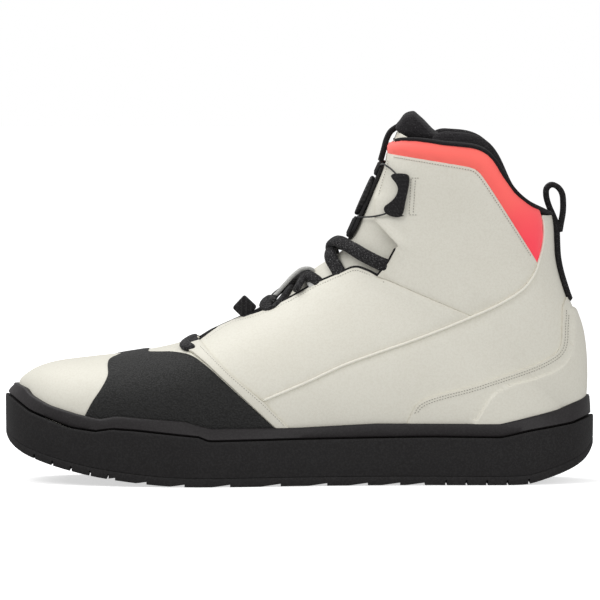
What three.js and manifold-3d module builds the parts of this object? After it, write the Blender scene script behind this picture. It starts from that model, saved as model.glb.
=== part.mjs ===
// Left high-top boot with a lugged cupsole and a rotary cable closure on the shin.
// Millimetres, +Z up. Toe towards -X, heel towards +X, outer side of the foot towards -Y.
import * as THREE from 'three';
import { mergeVertices } from 'three/addons/utils/BufferGeometryUtils.js';
import Module from 'manifold-3d';

const wasm = await Module();
wasm.setup();

// ---------------------------------------------------------------- driving dimensions
const TONGUE = 1.6;           // tongue thickness
const GAP = 0.3;              // clearance between touching pieces
const LEATHER = 1.8;          // leather panel thickness
const OVERLAY = 1.2;          // thin overlay thickness
const HEEL_OVERLAY = 2.7;     // moulded heel overlay thickness
const LINER = { outer: -4.2, inner: -6.8 };
const STIFFENER = { outer: -2.1, inner: -3.6 };
const COLLAR = { outer: 0.4, inner: -9.5 };
const PAD = { outer: -4.4, inner: -8.2 };
const TREAD = 8;              // height of the outsole, lugs included
const LUG = 3.4;              // depth of the tread grooves
const SIDEWALL = 5;           // wall of the rubber cup
const RAND = 4;               // how far the rubber band stands off the upper
const FLOOR = 22;             // height of the cup floor, where the upper starts
const CENTRE = [-0.25, 1.5, 0];  // puts the middle of the footprint on the origin
const FAR = 90;               // further out than anything on the boot
const INSOLE = 18;            // how far the board and footbed stand in from the sole's edge
const HALF_TURN = Math.PI / 2;
const ROUND_STEPS = 1;        // grid rows between two stations
const SIDE_STEPS = 8;         // grid columns from the sole edge to the ridge

// Sections of the upper, from the toe tip round the sole and up the heel line.
// Each row gives foot x, z and ridge x, z, the ends of the section in side view; the middle y; the
// outer and inner half-widths at the foot, then at the widest place; how far up the widest place is;
// heel, from 1, open at the sole, to 2, closed on the heel line; and how square the top is.
const STATIONS = [
  [-143.5, 22, -143.5, 49, 7, 0, 0, 0, 0, 0.35, 1.2, 2.5],
  [-141, 22, -141.5, 52.5, 7, 14, 13, 14.5, 13.5, 0.35, 1.2, 2.5],
  [-134, 22, -134.5, 57.3, 6, 26, 24, 27, 25, 0.35, 1.2, 2.5],
  [-123, 22, -123.5, 60.8, 5, 36, 33, 37.5, 34.5, 0.35, 1.2, 2.45],
  [-105, 22, -105.5, 63.2, 3.5, 43.5, 40, 45, 42, 0.34, 1.2, 2.4],
  [-80, 22, -82, 66, 1.5, 48, 44, 50, 46, 0.33, 1.2, 2.3],
  [-52, 22, -58, 71.3, 0.5, 48.5, 43.5, 50.5, 46, 0.32, 1.2, 2.2],
  [-12, 22, -34, 81.5, 0, 44, 36.5, 47, 41, 0.3, 1.2, 2.05],
  [20, 22, -13, 91.5, 0, 38, 31, 43, 38, 0.3, 1.2, 1.95],
  [52, 22, 5, 103, 0, 34.5, 30.5, 40, 37, 0.3, 1.2, 1.9],
  [84, 22, 15.5, 111.5, 0, 33.5, 31.5, 38.5, 37, 0.32, 1.2, 1.9],
  [112, 22, 22, 118, 0, 31, 30, 37, 36, 0.36, 1.3, 2],
  [131.5, 23, 25.2, 124, 0, 17, 16.5, 35.5, 35, 0.4, 1.6, 2.2],
  [140.5, 31, 29, 131.8, 0, 0, 0, 34.5, 34, 0.42, 2, 2.5],
  [144.5, 48, 32.6, 140, 0, 0, 0, 34, 34, 0.43, 2.1, 2.8],
  [143, 75, 36.4, 149, 0, 0, 0, 33.5, 33.5, 0.44, 2.1, 3],
  [135.2, 97, 40.4, 158, 0, 0, 0, 33.5, 33.5, 0.45, 2.1, 3.1],
  [131, 113, 44.2, 168, 0, 0, 0, 34, 34, 0.46, 2.1, 3.1],
  [129.5, 134, 48.2, 179, 0, 0, 0, 35, 35, 0.48, 2.1, 2.8],
  [124, 164, 53, 193, 0, 0, 0, 36, 36, 0.5, 2.1, 2.2],
].map(([fx, fz, rx, rz, mid, lowOuter, lowInner, wideOuter, wideInner, at, heel, top]) => ({
  foot: [fx, fz],
  ridge: [rx, rz],
  mid,
  low: [lowOuter, lowInner],
  wide: [wideOuter, wideInner],
  at,
  heel,
  top,
}));

// Outlines and seams in side view, [x, z].
const RIM = [[40, 168.6], [45.5, 173], [51, 174.9], [61, 174.9], [74, 173], [88, 171.6], [94, 169.6],
  [99.5, 164.5], [105, 155.5], [111, 147.5], [118, 142], [124, 139], [131, 136]];
const COLLAR_EDGE = [[45, 167.3], [68.5, 163.5], [87.5, 160], [92.4, 157], [101.8, 142.4],
  [119.6, 114.3], [121, 111.9]];
const ANKLE_BACK = [[121, 111.9], [119.6, 106.8], [114, 99.2], [101.8, 91.3], [87.7, 84.8]];
const COLLAR_BACK = [[121, 111.9], [123.4, 120], [124.1, 127.5], [123.2, 134], [122.6, 145]];
const WELT = [[-18.4, 42.8], [5.4, 52.6], [21.6, 60], [37.8, 65.9], [62.1, 74.4], [87.7, 84.8]];
const QUARTER_TOP = [[87.7, 84.8], [74.2, 90.6], [58.9, 97.1], [45.9, 102.7], [40.3, 104.8]];
const EYESTAY = [[40.3, 104.8], [35.4, 107.4], [28.9, 109.2], [21.6, 106.4], [8.6, 100.6], [-5.9, 92.6],
  [-20.5, 86], [-34, 82], [-41.1, 78.2], [-50.8, 71.8]];
const QUARTER_FRONT = [[-50.8, 71.8], [-35.5, 56.2], [-18.4, 42.8], [-2, 27], [4, 18]];
const SHIN_EDGE = [[40.3, 104.8], [46.5, 111.5], [50.8, 120.6], [39.4, 132.7], [39.1, 144.4],
  [41.1, 151.5], [44.2, 161.7], [45, 167.3]];
const PATCH_FRONT = [[-94, 80], [-97, 61.9], [-96.4, 55.6], [-99.3, 48.8], [-104.2, 42], [-110, 30]];
const PATCH_REAR = [[-57, 80], [-59.5, 67.6], [-52.8, 64.3], [-48.7, 61.2], [-33.2, 48.5],
  [-13.4, 30.2], [-5, 20]];
const HEEL_OVERLAY_TOP = [[52, 26], [56.2, 34.5], [60.5, 41.5], [92.4, 51.4], [125.2, 63.1], [131.8, 68.3],
  [133.2, 80.5], [133.7, 89.8], [135.5, 92.6], [141, 95]];
const RAND_TOP = [[-152, 52.5], [-143.4, 50.4], [-139.5, 45], [-128.4, 40.5], [-112.9, 36.3], [-103, 34.8],
  [-74.1, 33.6], [-54.7, 32.1], [-38, 29.2], [0.5, 29.4], [39.3, 31.2], [101.8, 30.8], [119.2, 34.4],
  [135.4, 37.6], [147.7, 42.6], [154, 46]];
const GROOVE = [[-152, 45], [-146.9, 42.8], [-137.2, 36.4], [-122.6, 31.1], [-105.2, 28.2], [-74.1, 27.3],
  [-54.7, 25.6], [-42, 22.9], [0.5, 23.3], [68.5, 24.1], [102.5, 23.6], [117, 26.8], [139.9, 30.3],
  [154, 35]];
const UNDERSIDE = [[-152, 31], [-149.4, 22], [-143.6, 16.5], [-131.5, 11.4], [-107.1, 5.3], [-82.7, 1.8],
  [-60, 0], [0, 0], [60, 0], [116, 0], [124.4, 2.6], [136.5, 6.3], [146.2, 10.9], [149.7, 18], [153, 23]];
const SOLE_PLAN = [[-150, 7], [-146, -12], [-136, -26.5], [-118, -40], [-90, -51], [-58, -56], [-25, -53],
  [10, -46], [45, -41.5], [85, -40], [118, -37], [138, -26], [147.6, -12], [150.5, 0], [147.6, 12],
  [138, 25.5], [118, 36], [85, 38.5], [45, 36], [10, 37], [-25, 44], [-58, 51], [-90, 53], [-118, 46.5],
  [-136, 36], [-146, 24]];
const LUG_EDGES = [-92.5, -76.6, -57.4, -34.5, -9.1, 14.4, 35, 51.3, 63.8];
const SIPES = [-142.6, -134.1, -124.7, -115.1, -105.3, -96.2, 74.5, 84.8, 95.2, 105.6, 116.5];

// Closure. Dial depths are measured from the face, out of the shin being positive.
const DIAL = {
  face: [33, 145.8], tilt: 24.2, knob: 10.8, cap: 3.8, top: 0.6, skirt: -1.9, plate: [-3, -2.2], floor: -7,
  cup: 9, bore: 7.9, half: 9.5, up: 20.5, down: 24.5, wing: 11.4, wingTop: -0.4, wingHalf: 6,
};
const LACE = 2.4;             // half width of the laces
const CABLE = 0.55;           // cable radius
const BINDING = 1.7;          // radius of the rolled edge on the collar
const LOOP_HALF = 7;          // half width of the heel webbing
const FLAP_FOOT = [[10, 124.4], [33, 124.8], [39, 133.4]];  // lower edge of the shin flap

// ---------------------------------------------------------------- materials
const offWhite = new THREE.Color(0.83, 0.81, 0.74);
const black = new THREE.Color(0.02, 0.019, 0.021);
const coral = new THREE.Color(1, 0.13, 0.11);
const steel = new THREE.Color(0.6, 0.6, 0.62);
const foamGrey = new THREE.Color(0.25, 0.25, 0.26);
const boardBrown = new THREE.Color(0.45, 0.38, 0.28);
const bedGrey = new THREE.Color(0.06, 0.06, 0.065);
const stiffGrey = new THREE.Color(0.5, 0.5, 0.48);

// ---------------------------------------------------------------- curves
const inSpace = (points) => points.map(([x, y]) => new THREE.Vector3(x, y, 0));

function smooth(points, perSpan = 2) {
  const curve = new THREE.CatmullRomCurve3(inSpace(points), false, 'centripetal');
  return curve.getPoints((points.length - 1) * perSpan).map((p) => [p.x, p.y]);
}

// The same line moved sideways, to the left of its direction.
function shifted(points, out) {
  return points.map((p, i) => {
    const a = points[Math.max(0, i - 1)];
    const b = points[Math.min(points.length - 1, i + 1)];
    const length = Math.hypot(b[0] - a[0], b[1] - a[1]);
    return [p[0] - (b[1] - a[1]) / length * out, p[1] + (b[0] - a[0]) / length * out];
  });
}

function heightOn(line, x) {
  const next = line.findIndex((p) => p[0] >= x);
  if (next <= 0) return next === 0 ? line[0][1] : line[line.length - 1][1];
  const [a, b] = [line[next - 1], line[next]];
  return a[1] + (b[1] - a[1]) * (x - a[0]) / (b[0] - a[0]);
}

// A narrow closed outline that runs along a seam.
const ribbon = (points, half) => [...shifted(points, half), ...shifted(points, -half).reverse()];

// ---------------------------------------------------------------- solids
// The faces that still have three different corners after points were merged.
function wholeFaces(index) {
  const kept = [];
  for (let i = 0; i < index.length; i += 3) {
    const [a, b, c] = [index[i], index[i + 1], index[i + 2]];
    if (a !== b && b !== c && c !== a) kept.push(a, b, c);
  }
  return kept;
}

function solid(geometry) {
  const g = geometry.clone();
  for (const name of Object.keys(g.attributes)) {
    if (name !== 'position') g.deleteAttribute(name);
  }
  const merged = mergeVertices(g, 1e-4);
  const mesh = new wasm.Mesh({
    numProp: 3,
    vertProperties: new Float32Array(merged.attributes.position.array),
    triVerts: new Uint32Array(wholeFaces(merged.index.array)),
  });
  return new wasm.Manifold(mesh);
}

function geometryOf(body) {
  const { vertProperties, triVerts, numProp } = body.getMesh();
  const g = new THREE.BufferGeometry();
  const position = new Float32Array(vertProperties.length / numProp * 3);
  for (let i = 0; i < position.length / 3; i += 1) {
    for (let k = 0; k < 3; k += 1) position[i * 3 + k] = vertProperties[i * numProp + k];
  }
  g.setAttribute('position', new THREE.BufferAttribute(position, 3));
  g.setIndex([...triVerts]);
  return g;
}

const shapeOf = (points) => new THREE.Shape(points.map(([x, y]) => new THREE.Vector2(x, y)));

// Side-view outline carried across the boot from y = from to y = to.
function acrossBoot(points, from = -FAR, to = FAR) {
  const g = new THREE.ExtrudeGeometry(shapeOf(points), { depth: to - from, bevelEnabled: false });
  g.rotateX(HALF_TURN).translate(0, to, 0);
  return solid(g);
}

// Plan outline carried up from z = from to z = to.
function upright(points, from, to) {
  const g = new THREE.ExtrudeGeometry(shapeOf(points), { depth: to - from, bevelEnabled: false });
  g.translate(0, 0, from);
  return solid(g);
}

// A round or flat bar along a route of points, flat side by widthScale.
function tube(route, radius, steps, sides = 8, widthScale = 1, closed = false) {
  const curve = new THREE.CatmullRomCurve3(route, closed, 'centripetal');
  const section = [];
  for (let i = 0; i < sides; i += 1) {
    const a = i / sides * 2 * Math.PI;
    section.push([radius * Math.cos(a), radius * widthScale * Math.sin(a)]);
  }
  return new THREE.ExtrudeGeometry(shapeOf(section), { steps, extrudePath: curve, bevelEnabled: false });
}

const side = { lateral: [-FAR, -0.15], medial: [0.15, FAR] };
const besideTongue = { lateral: [-FAR, -13.3], medial: [13.3, FAR] };
const signOf = { lateral: -1, medial: 1 };

// ---------------------------------------------------------------- the form of the upper
function column(read) {
  const last = STATIONS.length - 1;
  return (r) => {
    const i = Math.min(last - 1, Math.max(0, Math.floor(r)));
    const f = r - i;
    const near = [i - 1, i, i + 1, i + 2].map((k) => STATIONS[Math.min(last, Math.max(0, k))]);
    const [p0, p1, p2, p3] = near.map(read);
    const m1 = i === 0 ? p2 - p1 : (p2 - p0) / 2;
    const m2 = i + 1 === last ? p2 - p1 : (p3 - p1) / 2;
    return p1 + f * (m1 + f * (3 * (p2 - p1) - 2 * m1 - m2 + f * (m1 + m2 - 2 * (p2 - p1))));
  };
}
const form = {
  foot: [column((s) => s.foot[0]), column((s) => s.foot[1])],
  ridge: [column((s) => s.ridge[0]), column((s) => s.ridge[1])],
  mid: column((s) => s.mid),
  low: [column((s) => s.low[0]), column((s) => s.low[1])],
  wide: [column((s) => s.wide[0]), column((s) => s.wide[1])],
  at: column((s) => s.at),
  heel: column((s) => s.heel),
  top: column((s) => s.top),
};

// Half section: t is 0 on the ridge, 0.5 at the widest place and 1 at the sole or heel line.
function sectionPoint(r, t, inner) {
  const at = form.at(r);
  const low = Math.max(0, form.low[inner](r));
  const wide = Math.max(low, form.wide[inner](r));
  if (t <= 0.5) {
    const a = HALF_TURN * (1 - 2 * t);
    const power = 2 / form.top(r);
    return [wide * Math.max(0, Math.cos(a)) ** power, at + (1 - at) * Math.sin(a) ** power];
  }
  const a = HALF_TURN * (2 * t - 1);
  return [low + (wide - low) * Math.max(0, Math.cos(a)) ** (2 / form.heel(r)), at * (1 - Math.sin(a))];
}

function formPoint(r, t, inner) {
  const [width, up] = sectionPoint(r, t, inner);
  const x = form.foot[0](r) + (form.ridge[0](r) - form.foot[0](r)) * up;
  const z = form.foot[1](r) + (form.ridge[1](r) - form.foot[1](r)) * up;
  return new THREE.Vector3(x, form.mid(r) + (inner ? width : -width), z);
}

// Where a side-view point lies on the form.
function placeOnForm(x, z, inner) {
  let [low, high] = [0, STATIONS.length - 1];
  for (let i = 0; i < 40; i += 1) {
    const r = (low + high) / 2;
    const [bx, bz] = [form.foot[0](r), form.foot[1](r)];
    const [dx, dz] = [form.ridge[0](r) - bx, form.ridge[1](r) - bz];
    if (dx * (z - bz) - dz * (x - bx) < 0) low = r;
    else high = r;
  }
  const r = (low + high) / 2;
  const [bx, bz] = [form.foot[0](r), form.foot[1](r)];
  const reach = Math.hypot(form.ridge[0](r) - bx, form.ridge[1](r) - bz);
  const up = Math.min(1, Math.max(0, Math.hypot(x - bx, z - bz) / reach));
  const at = form.at(r);
  const t = up >= at
    ? 0.5 * (1 - Math.asin(((up - at) / (1 - at)) ** (form.top(r) / 2)) / HALF_TURN)
    : 0.5 + 0.5 * Math.asin(1 - up / at) / HALF_TURN;
  const p = formPoint(r, t, inner);
  const step = 0.01;
  const along = formPoint(r + step, t, inner).sub(formPoint(r - step, t, inner));
  const [before, after] = [Math.max(0.001, t - step), Math.min(0.999, t + step)];
  const around = formPoint(r, after, inner).sub(formPoint(r, before, inner));
  const normal = along.cross(around).normalize();
  if (normal.y * (inner ? 1 : -1) < 0) normal.negate();
  return { point: p, normal };
}
const onForm = (x, z, which, out = 0) => {
  const { point, normal } = placeOnForm(x, z, which === 'medial' ? 1 : 0);
  return point.addScaledVector(normal, out);
};

// One merged skin of the whole upper with its normals, which every layer is offset from.
function formSkin(rowSteps, columnSteps) {
  const rows = (STATIONS.length - 1) * rowSteps;
  const columns = columnSteps * 2;
  const position = [];
  for (let i = 0; i <= rows; i += 1) {
    for (let j = 0; j <= columns; j += 1) {
      const across = j / columnSteps - 1;
      const p = formPoint(i / rowSteps, Math.abs(across), across > 0 ? 1 : 0);
      position.push(p.x, p.y, p.z);
    }
  }
  const faces = [];
  for (let i = 0; i < rows; i += 1) {
    for (let j = 0; j < columns; j += 1) {
      const a = i * (columns + 1) + j;
      const b = a + columns + 1;
      faces.push(a, b, a + 1, b, b + 1, a + 1);
    }
  }
  const g = new THREE.BufferGeometry();
  g.setAttribute('position', new THREE.Float32BufferAttribute(position, 3));
  g.setIndex(faces);
  const merged = mergeVertices(g, 1e-3);
  merged.setIndex(wholeFaces(merged.index.array));
  merged.computeVertexNormals();
  return merged;
}

function offsetPoints(skin, out) {
  const p = skin.attributes.position.array;
  const n = skin.attributes.normal.array;
  return Array.from(p, (value, i) => value + n[i] * out);
}

function openEdges(faces) {
  const seen = new Map();
  for (let i = 0; i < faces.length; i += 3) {
    for (let k = 0; k < 3; k += 1) {
      const [a, b] = [faces[i + k], faces[i + (k + 1) % 3]];
      if (seen.has(`${b}_${a}`)) seen.delete(`${b}_${a}`);
      else seen.set(`${a}_${b}`, [a, b]);
    }
  }
  return [...seen.values()];
}

function bodyFrom(points, faces) {
  const g = new THREE.BufferGeometry();
  g.setAttribute('position', new THREE.Float32BufferAttribute(points, 3));
  g.setIndex(faces);
  return solid(g);
}

// A wall of the upper between two offsets.
function wall(skin, outer, inner) {
  const faces = [...skin.index.array];
  const count = skin.attributes.position.count;
  const all = [...faces];
  for (let i = 0; i < faces.length; i += 3) {
    all.push(faces[i] + count, faces[i + 2] + count, faces[i + 1] + count);
  }
  for (const [a, b] of openEdges(faces)) {
    all.push(b, a, a + count, b, a + count, b + count);
  }
  return bodyFrom([...offsetPoints(skin, outer), ...offsetPoints(skin, inner)], all);
}

// The whole upper as one filled body at an offset.
function filled(skin, out) {
  const faces = [...skin.index.array];
  const points = offsetPoints(skin, out);
  const next = new Map(openEdges(faces));
  while (next.size) {
    const loop = [next.keys().next().value];
    while (next.has(loop[loop.length - 1])) {
      const from = loop[loop.length - 1];
      loop.push(next.get(from));
      next.delete(from);
    }
    loop.pop();
    const centre = [0, 1, 2].map((k) => loop.reduce((sum, v) => sum + points[v * 3 + k], 0) / loop.length);
    const hub = points.length / 3;
    points.push(...centre);
    loop.forEach((v, i) => faces.push(loop[(i + 1) % loop.length], v, hub));
  }
  return bodyFrom(points, faces);
}

const skin = formSkin(ROUND_STEPS, SIDE_STEPS);
const leatherWall = wall(skin, 0, -LEATHER);
const overlayWall = wall(skin, GAP + OVERLAY, GAP);
const heelWall = wall(skin, GAP + HEEL_OVERLAY, GAP);
const collarWall = wall(skin, COLLAR.outer, COLLAR.inner);
const linerWall = wall(skin, LINER.outer, LINER.inner);
const stiffWall = wall(skin, STIFFENER.outer, STIFFENER.inner);
const clearOfUpper = filled(skin, GAP);

// ---------------------------------------------------------------- seams
const seams = {
  rim: smooth(RIM, 1),
  collarEdge: smooth(COLLAR_EDGE, 1),
  ankleBack: smooth(ANKLE_BACK, 1),
  collarBack: smooth(COLLAR_BACK, 1),
  welt: smooth(WELT, 1),
  quarterTop: smooth(QUARTER_TOP, 1),
  eyestay: smooth(EYESTAY, 1),
  quarterFront: QUARTER_FRONT,
  shinEdge: SHIN_EDGE,
  patchFront: smooth(PATCH_FRONT, 1),
  patchRear: smooth(PATCH_REAR, 1),
  heelTop: smooth(HEEL_OVERLAY_TOP, 1),
  randTop: smooth(RAND_TOP, 1),
  groove: smooth(GROOVE, 1),
  underside: UNDERSIDE,
};
const back = (points) => [...points].reverse();
const raiseLine = (line, by) => line.map(([x, z]) => [x, z + by]);

// Material left off along every seam, so that neighbouring panels only touch.
const cutSeams = ['collarEdge', 'ankleBack', 'collarBack', 'welt', 'quarterTop', 'eyestay', 'quarterFront',
  'shinEdge'];
const seamCut = cutSeams.map((name) => acrossBoot(ribbon(seams[name], GAP / 2)))
  .reduce((all, one) => all.add(one));

const regions = {
  vamp: [[-160, 10], [-160, 90], [-52, 90], ...seams.quarterFront],
  quarter: [...seams.welt, ...seams.quarterTop, ...seams.eyestay, ...seams.quarterFront.slice(0, 3)],
  heel: [...seams.welt, ...back(seams.ankleBack), ...seams.collarBack, [160, 145], [160, 10],
    ...back(seams.quarterFront.slice(2))],
  ankle: [...back(seams.shinEdge), ...back(seams.quarterTop), ...back(seams.ankleBack),
    ...back(seams.collarEdge)],
  collar: [...seams.collarEdge, ...seams.collarBack, [122.6, 210], [50, 210], [48.6, 178], [46.4, 172.5]],
  belowRim: [[-200, 0], [-200, 160], [30, 160], ...shifted(seams.rim, -2 * BINDING - 2.4), [160, 128],
    [200, 0]],
  randBand: [...seams.randTop, ...back(seams.groove)],
};

function panel(wallBody, outline, which, band = side) {
  const [from, to] = band[which];
  return wallBody.intersect(acrossBoot(outline, from, to)).subtract(seamCut);
}

// ---------------------------------------------------------------- the parts
const part = new THREE.Group();
const boot = new THREE.Group();
boot.position.set(...CENTRE);
part.add(boot);
const dial = new THREE.Group();
dial.position.set(DIAL.face[0], 0, DIAL.face[1]);
dial.rotation.y = -THREE.MathUtils.degToRad(90 - DIAL.tilt);
boot.add(dial);

// Keeps the largest piece, so that a sliver left by a cut does not stay.
function largest(body) {
  const pieces = body.decompose();
  return pieces.sort((a, b) => b.volume() - a.volume())[0];
}

function add(name, shape, color, roughness = 0.7, metalness = 0, parent = boot) {
  const geometry = shape.isBufferGeometry ? shape : geometryOf(largest(shape));
  const mesh = new THREE.Mesh(geometry, new THREE.MeshStandardMaterial({ color, roughness, metalness }));
  mesh.name = name;
  parent.add(mesh);
  return mesh;
}

// Sole.
function solePlan(inset) {
  const curve = new THREE.CatmullRomCurve3(inSpace(SOLE_PLAN), true, 'centripetal');
  const points = curve.getPoints(SOLE_PLAN.length * 2).slice(0, -1);
  return points.map((p, i) => {
    const a = points[(i + points.length - 1) % points.length];
    const b = points[(i + 1) % points.length];
    const n = new THREE.Vector3(-(b.y - a.y), b.x - a.x, 0).normalize();
    return [p.x + n.x * inset, p.y + n.y * inset];
  });
}

function soleBand(lower, upper, inset) {
  const outline = [...lower, ...back(upper)];
  return upright(solePlan(inset), -5, 60).intersect(acrossBoot(outline));
}

function buildSole() {
  const cupLine = raiseLine(seams.underside, TREAD);
  let tread = soleBand(seams.underside, cupLine, 0.6);
  const slot = (x, half, depth, from, to) => {
    const z = heightOn(seams.underside, x);
    const [left, right, top] = [x - half, x + half, z + depth];
    return acrossBoot([[left, -5], [right, -5], [right, top], [left, top]], from, to);
  };
  for (const x of LUG_EDGES) tread = tread.subtract(slot(x, 0.9, LUG));
  for (const x of SIPES) {
    tread = tread.subtract(slot(x, 0.6, LUG, -FAR, -26)).subtract(slot(x, 0.6, LUG, 26, FAR));
  }
  for (const y of [-14, 12]) {
    const channel = acrossBoot([[-118, -5], [112, -5], [112, LUG], [-118, LUG]], y - 1.2, y + 1.2);
    tread = tread.subtract(channel);
  }
  add('outsole', tread.subtract(clearOfUpper), black, 0.9);
  const cup = soleBand(raiseLine(cupLine, GAP), seams.groove, 0);
  const inside = upright(solePlan(SIDEWALL), -5, 60);
  add('sidewall', cup.subtract(inside).subtract(clearOfUpper), black, 0.85);
  const rand = upright(solePlan(0.9), -5, 60).intersect(filled(skin, RAND)).intersect(acrossBoot(
    [...seams.randTop, ...back(raiseLine(seams.groove, GAP))],
  ));
  const foot = upright(solePlan(SIDEWALL + 3), 0, FLOOR + 12);
  add('rand', rand.subtract(clearOfUpper).subtract(foot), black, 0.85);
  const core = upright(solePlan(SIDEWALL + GAP), -5, FLOOR - GAP).intersect(acrossBoot(
    [...raiseLine(cupLine, GAP), [155, 80], [-155, 80]],
  ));
  const shankPlan = (room) => [[-28 - room, -11 - room], [86 + room, -9 - room], [86 + room, 9 + room],
    [-28 - room, 11 + room]];
  const shankSlot = upright(shankPlan(GAP), FLOOR - 2 - GAP, FLOOR + 5);
  add('midsole_foam', core.subtract(shankSlot).subtract(clearOfUpper), foamGrey, 0.95);
  add('shank', upright(shankPlan(0), FLOOR - 2, FLOOR - GAP), steel, 0.35, 1);
  const linerRoom = wall(skin, GAP, LINER.inner - 1.5);
  const board = upright(solePlan(INSOLE), FLOOR, FLOOR + 2);
  add('insole_board', board.subtract(linerRoom), boardBrown, 0.9);
  const bedLine = [[-200, 27.6], [-60, 27.6], [0, 29.5], [60, 31], [200, 31]];
  const bed = upright(solePlan(INSOLE), FLOOR + 2 + GAP, 60)
    .intersect(acrossBoot([[-200, 0], ...bedLine, [200, 0]]));
  add('footbed', bed.subtract(linerRoom).subtract(wall(skin, -2, LINER.inner - GAP)), bedGrey, 0.95);
}

// Upper.
function buildUpper() {
  const aboveFloor = acrossBoot([[-200, FLOOR], [-200, 220], [200, 220], [200, FLOOR]]);
  const leather = leatherWall.intersect(aboveFloor);
  const belowRim = acrossBoot(regions.belowRim);
  add('vamp', leather.intersect(acrossBoot(regions.vamp)).subtract(seamCut), offWhite, 0.6);
  for (const which of ['lateral', 'medial']) {
    add(`quarter_${which}`, panel(leather, regions.quarter, which), offWhite, 0.6);
    add(`heel_panel_${which}`, panel(leather, regions.heel, which).intersect(belowRim), offWhite, 0.6);
    add(`ankle_panel_${which}`, panel(leather, regions.ankle, which, besideTongue), offWhite, 0.6);
    const collar = panel(collarWall, regions.collar, which, besideTongue).intersect(belowRim);
    add(`collar_${which}`, collar, coral, 0.75);
    const welt = smooth([...WELT, [101.8, 91.3], [114, 99.2], [119.4, 106.2]], 1);
    add(`welt_${which}`, panel(overlayWall, ribbon(welt, 0.9), which), offWhite, 0.6);
    const strip = [[-55.5, 66.2], [-48.2, 61.4], [-32.8, 48.7], [-14, 31.3], [-7.4, 31.3], [-18.4, 41.6],
      [-35.5, 55], [-51.6, 70.6]];
    add(`trim_strip_${which}`, overlayWall.intersect(acrossBoot(strip, ...side[which])), offWhite, 0.6);
  }
  const aboveRand = acrossBoot([...raiseLine(seams.randTop, GAP), [155, 220], [-155, 220]]);
  const patch = [...seams.patchFront, [-5, 10], ...back(seams.patchRear)];
  add('toe_patch', overlayWall.intersect(acrossBoot(patch)).intersect(aboveRand), black, 0.8);
  const overlay = [...seams.heelTop, [170, 95], [170, 20], [52, 20]];
  const loopRoom = acrossBoot([[130, 90], [150, 90], [150, 110], [130, 110]], -7.5, 7.5);
  const heelBody = heelWall.intersect(acrossBoot(overlay)).intersect(aboveRand);
  add('heel_overlay', heelBody.subtract(loopRoom), offWhite, 0.6);
  const toePuff = acrossBoot([[-160, FLOOR], [-160, 90], [-112, 90], [-118, FLOOR]]);
  add('toe_puff', stiffWall.intersect(toePuff), stiffGrey, 0.8);
  const counter = acrossBoot([[78, FLOOR], [92, 58], [118, 78], [160, 84], [160, FLOOR]]);
  add('heel_counter', stiffWall.intersect(counter), stiffGrey, 0.8);
}

// The lining is a bootie that stops below the padded collar and leaves room for the shin flap.
function buildLining() {
  const below = [[-200, FLOOR], [-200, 166], [44, 166], ...raiseLine(seams.collarEdge, -0.6), [140, 110],
    [200, 110], [200, FLOOR]];
  const shinRoom = [[-60, 70], [-60, 200], [64, 200], [64, 160], [57, 150], [49, 136], [41, 127], [27, 116],
    [10, 103], [-18, 87]];
  const bootie = linerWall.intersect(acrossBoot(below)).subtract(acrossBoot(shinRoom, -21, 21));
  add('lining', bootie, black, 0.95);
}

// Local dial frame: +Z out of the shin, +X up along it.
function dialPlace(x, y, z) {
  return new THREE.Vector3(x, y, z).applyEuler(dial.rotation).add(dial.position);
}

function onDial(geometry) {
  const copy = geometry.clone();
  copy.rotateY(dial.rotation.y).translate(DIAL.face[0], 0, DIAL.face[1]);
  return solid(copy);
}

function lathe(profile, sides = 32) {
  const g = new THREE.LatheGeometry(profile.map(([r, z]) => new THREE.Vector2(r, z)), sides);
  return g.rotateX(HALF_TURN);
}

// Straight-sided outline along the shin with round ends.
function stadium(down, up, half) {
  const end = (centre, from) => Array.from({ length: 9 }, (_, i) => {
    const a = from + i / 8 * Math.PI;
    return [centre + half * Math.cos(a), half * Math.sin(a)];
  });
  return [...end(up - half, -HALF_TURN), ...end(half - down, HALF_TURN)];
}

function slab(outline, from, to) {
  const g = new THREE.ExtrudeGeometry(shapeOf(outline), { depth: to - from, bevelEnabled: false });
  return g.translate(0, 0, from);
}

// Tongue: the lower part is sewn in, the shin flap above it bends forward.
function buildTongue() {
  const tongueWall = wall(skin, -LEATHER - GAP, -LEATHER - GAP - TONGUE);
  const lowerSide = [[-54, 66], [-60, 100], [10, 140], ...raiseLine(FLAP_FOOT, -GAP), [43, 130], [52, 121],
    [44, 108], [30, 104], [8.6, 94], [-20, 78], [-40, 68]];
  add('tongue_lower', tongueWall.intersect(acrossBoot(lowerSide, -29, 29)), offWhite, 0.65);
  const edge = [[39.1, 144.4], [41.1, 151.5], [44.2, 161.7], [45, 167.3], [46.5, 170], [49.5, 175.8]];
  const flapSide = [...FLAP_FOOT, ...edge, [0, 175.8]];
  const cupHole = onDial(slab(stadium(DIAL.cup + GAP, DIAL.cup + GAP, DIAL.cup + GAP), -14, 6));
  const sides = acrossBoot([[0, 100], [0, 134], [60, 134], [60, 100]], -24, 24)
    .add(acrossBoot([[0, 120], [0, 190], [60, 190], [60, 120]], -12.5, 12.5));
  const flap = tongueWall.intersect(acrossBoot(flapSide)).intersect(sides).subtract(cupHole);
  add('shin_flap', flap, offWhite, 0.65);
  const padSide = [[10, 128.5], [38.5, 128.5], [60, 150], [60, 174.5], [10, 174.5]];
  const pad = wall(skin, PAD.outer, PAD.inner).intersect(acrossBoot(padSide, -11.5, 11.5));
  add('tongue_pad', pad.subtract(cupHole), black, 0.95);
  const tab = [[50.6, 181.4], [51.6, 184.2], [56, 188], [58.8, 188], [65.7, 182.1], [68.5, 178],
    [66.4, 176.4], [55, 176.2]];
  add('tongue_pull_tab', acrossBoot(tab, -15, 15), black, 0.95);
}

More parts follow.
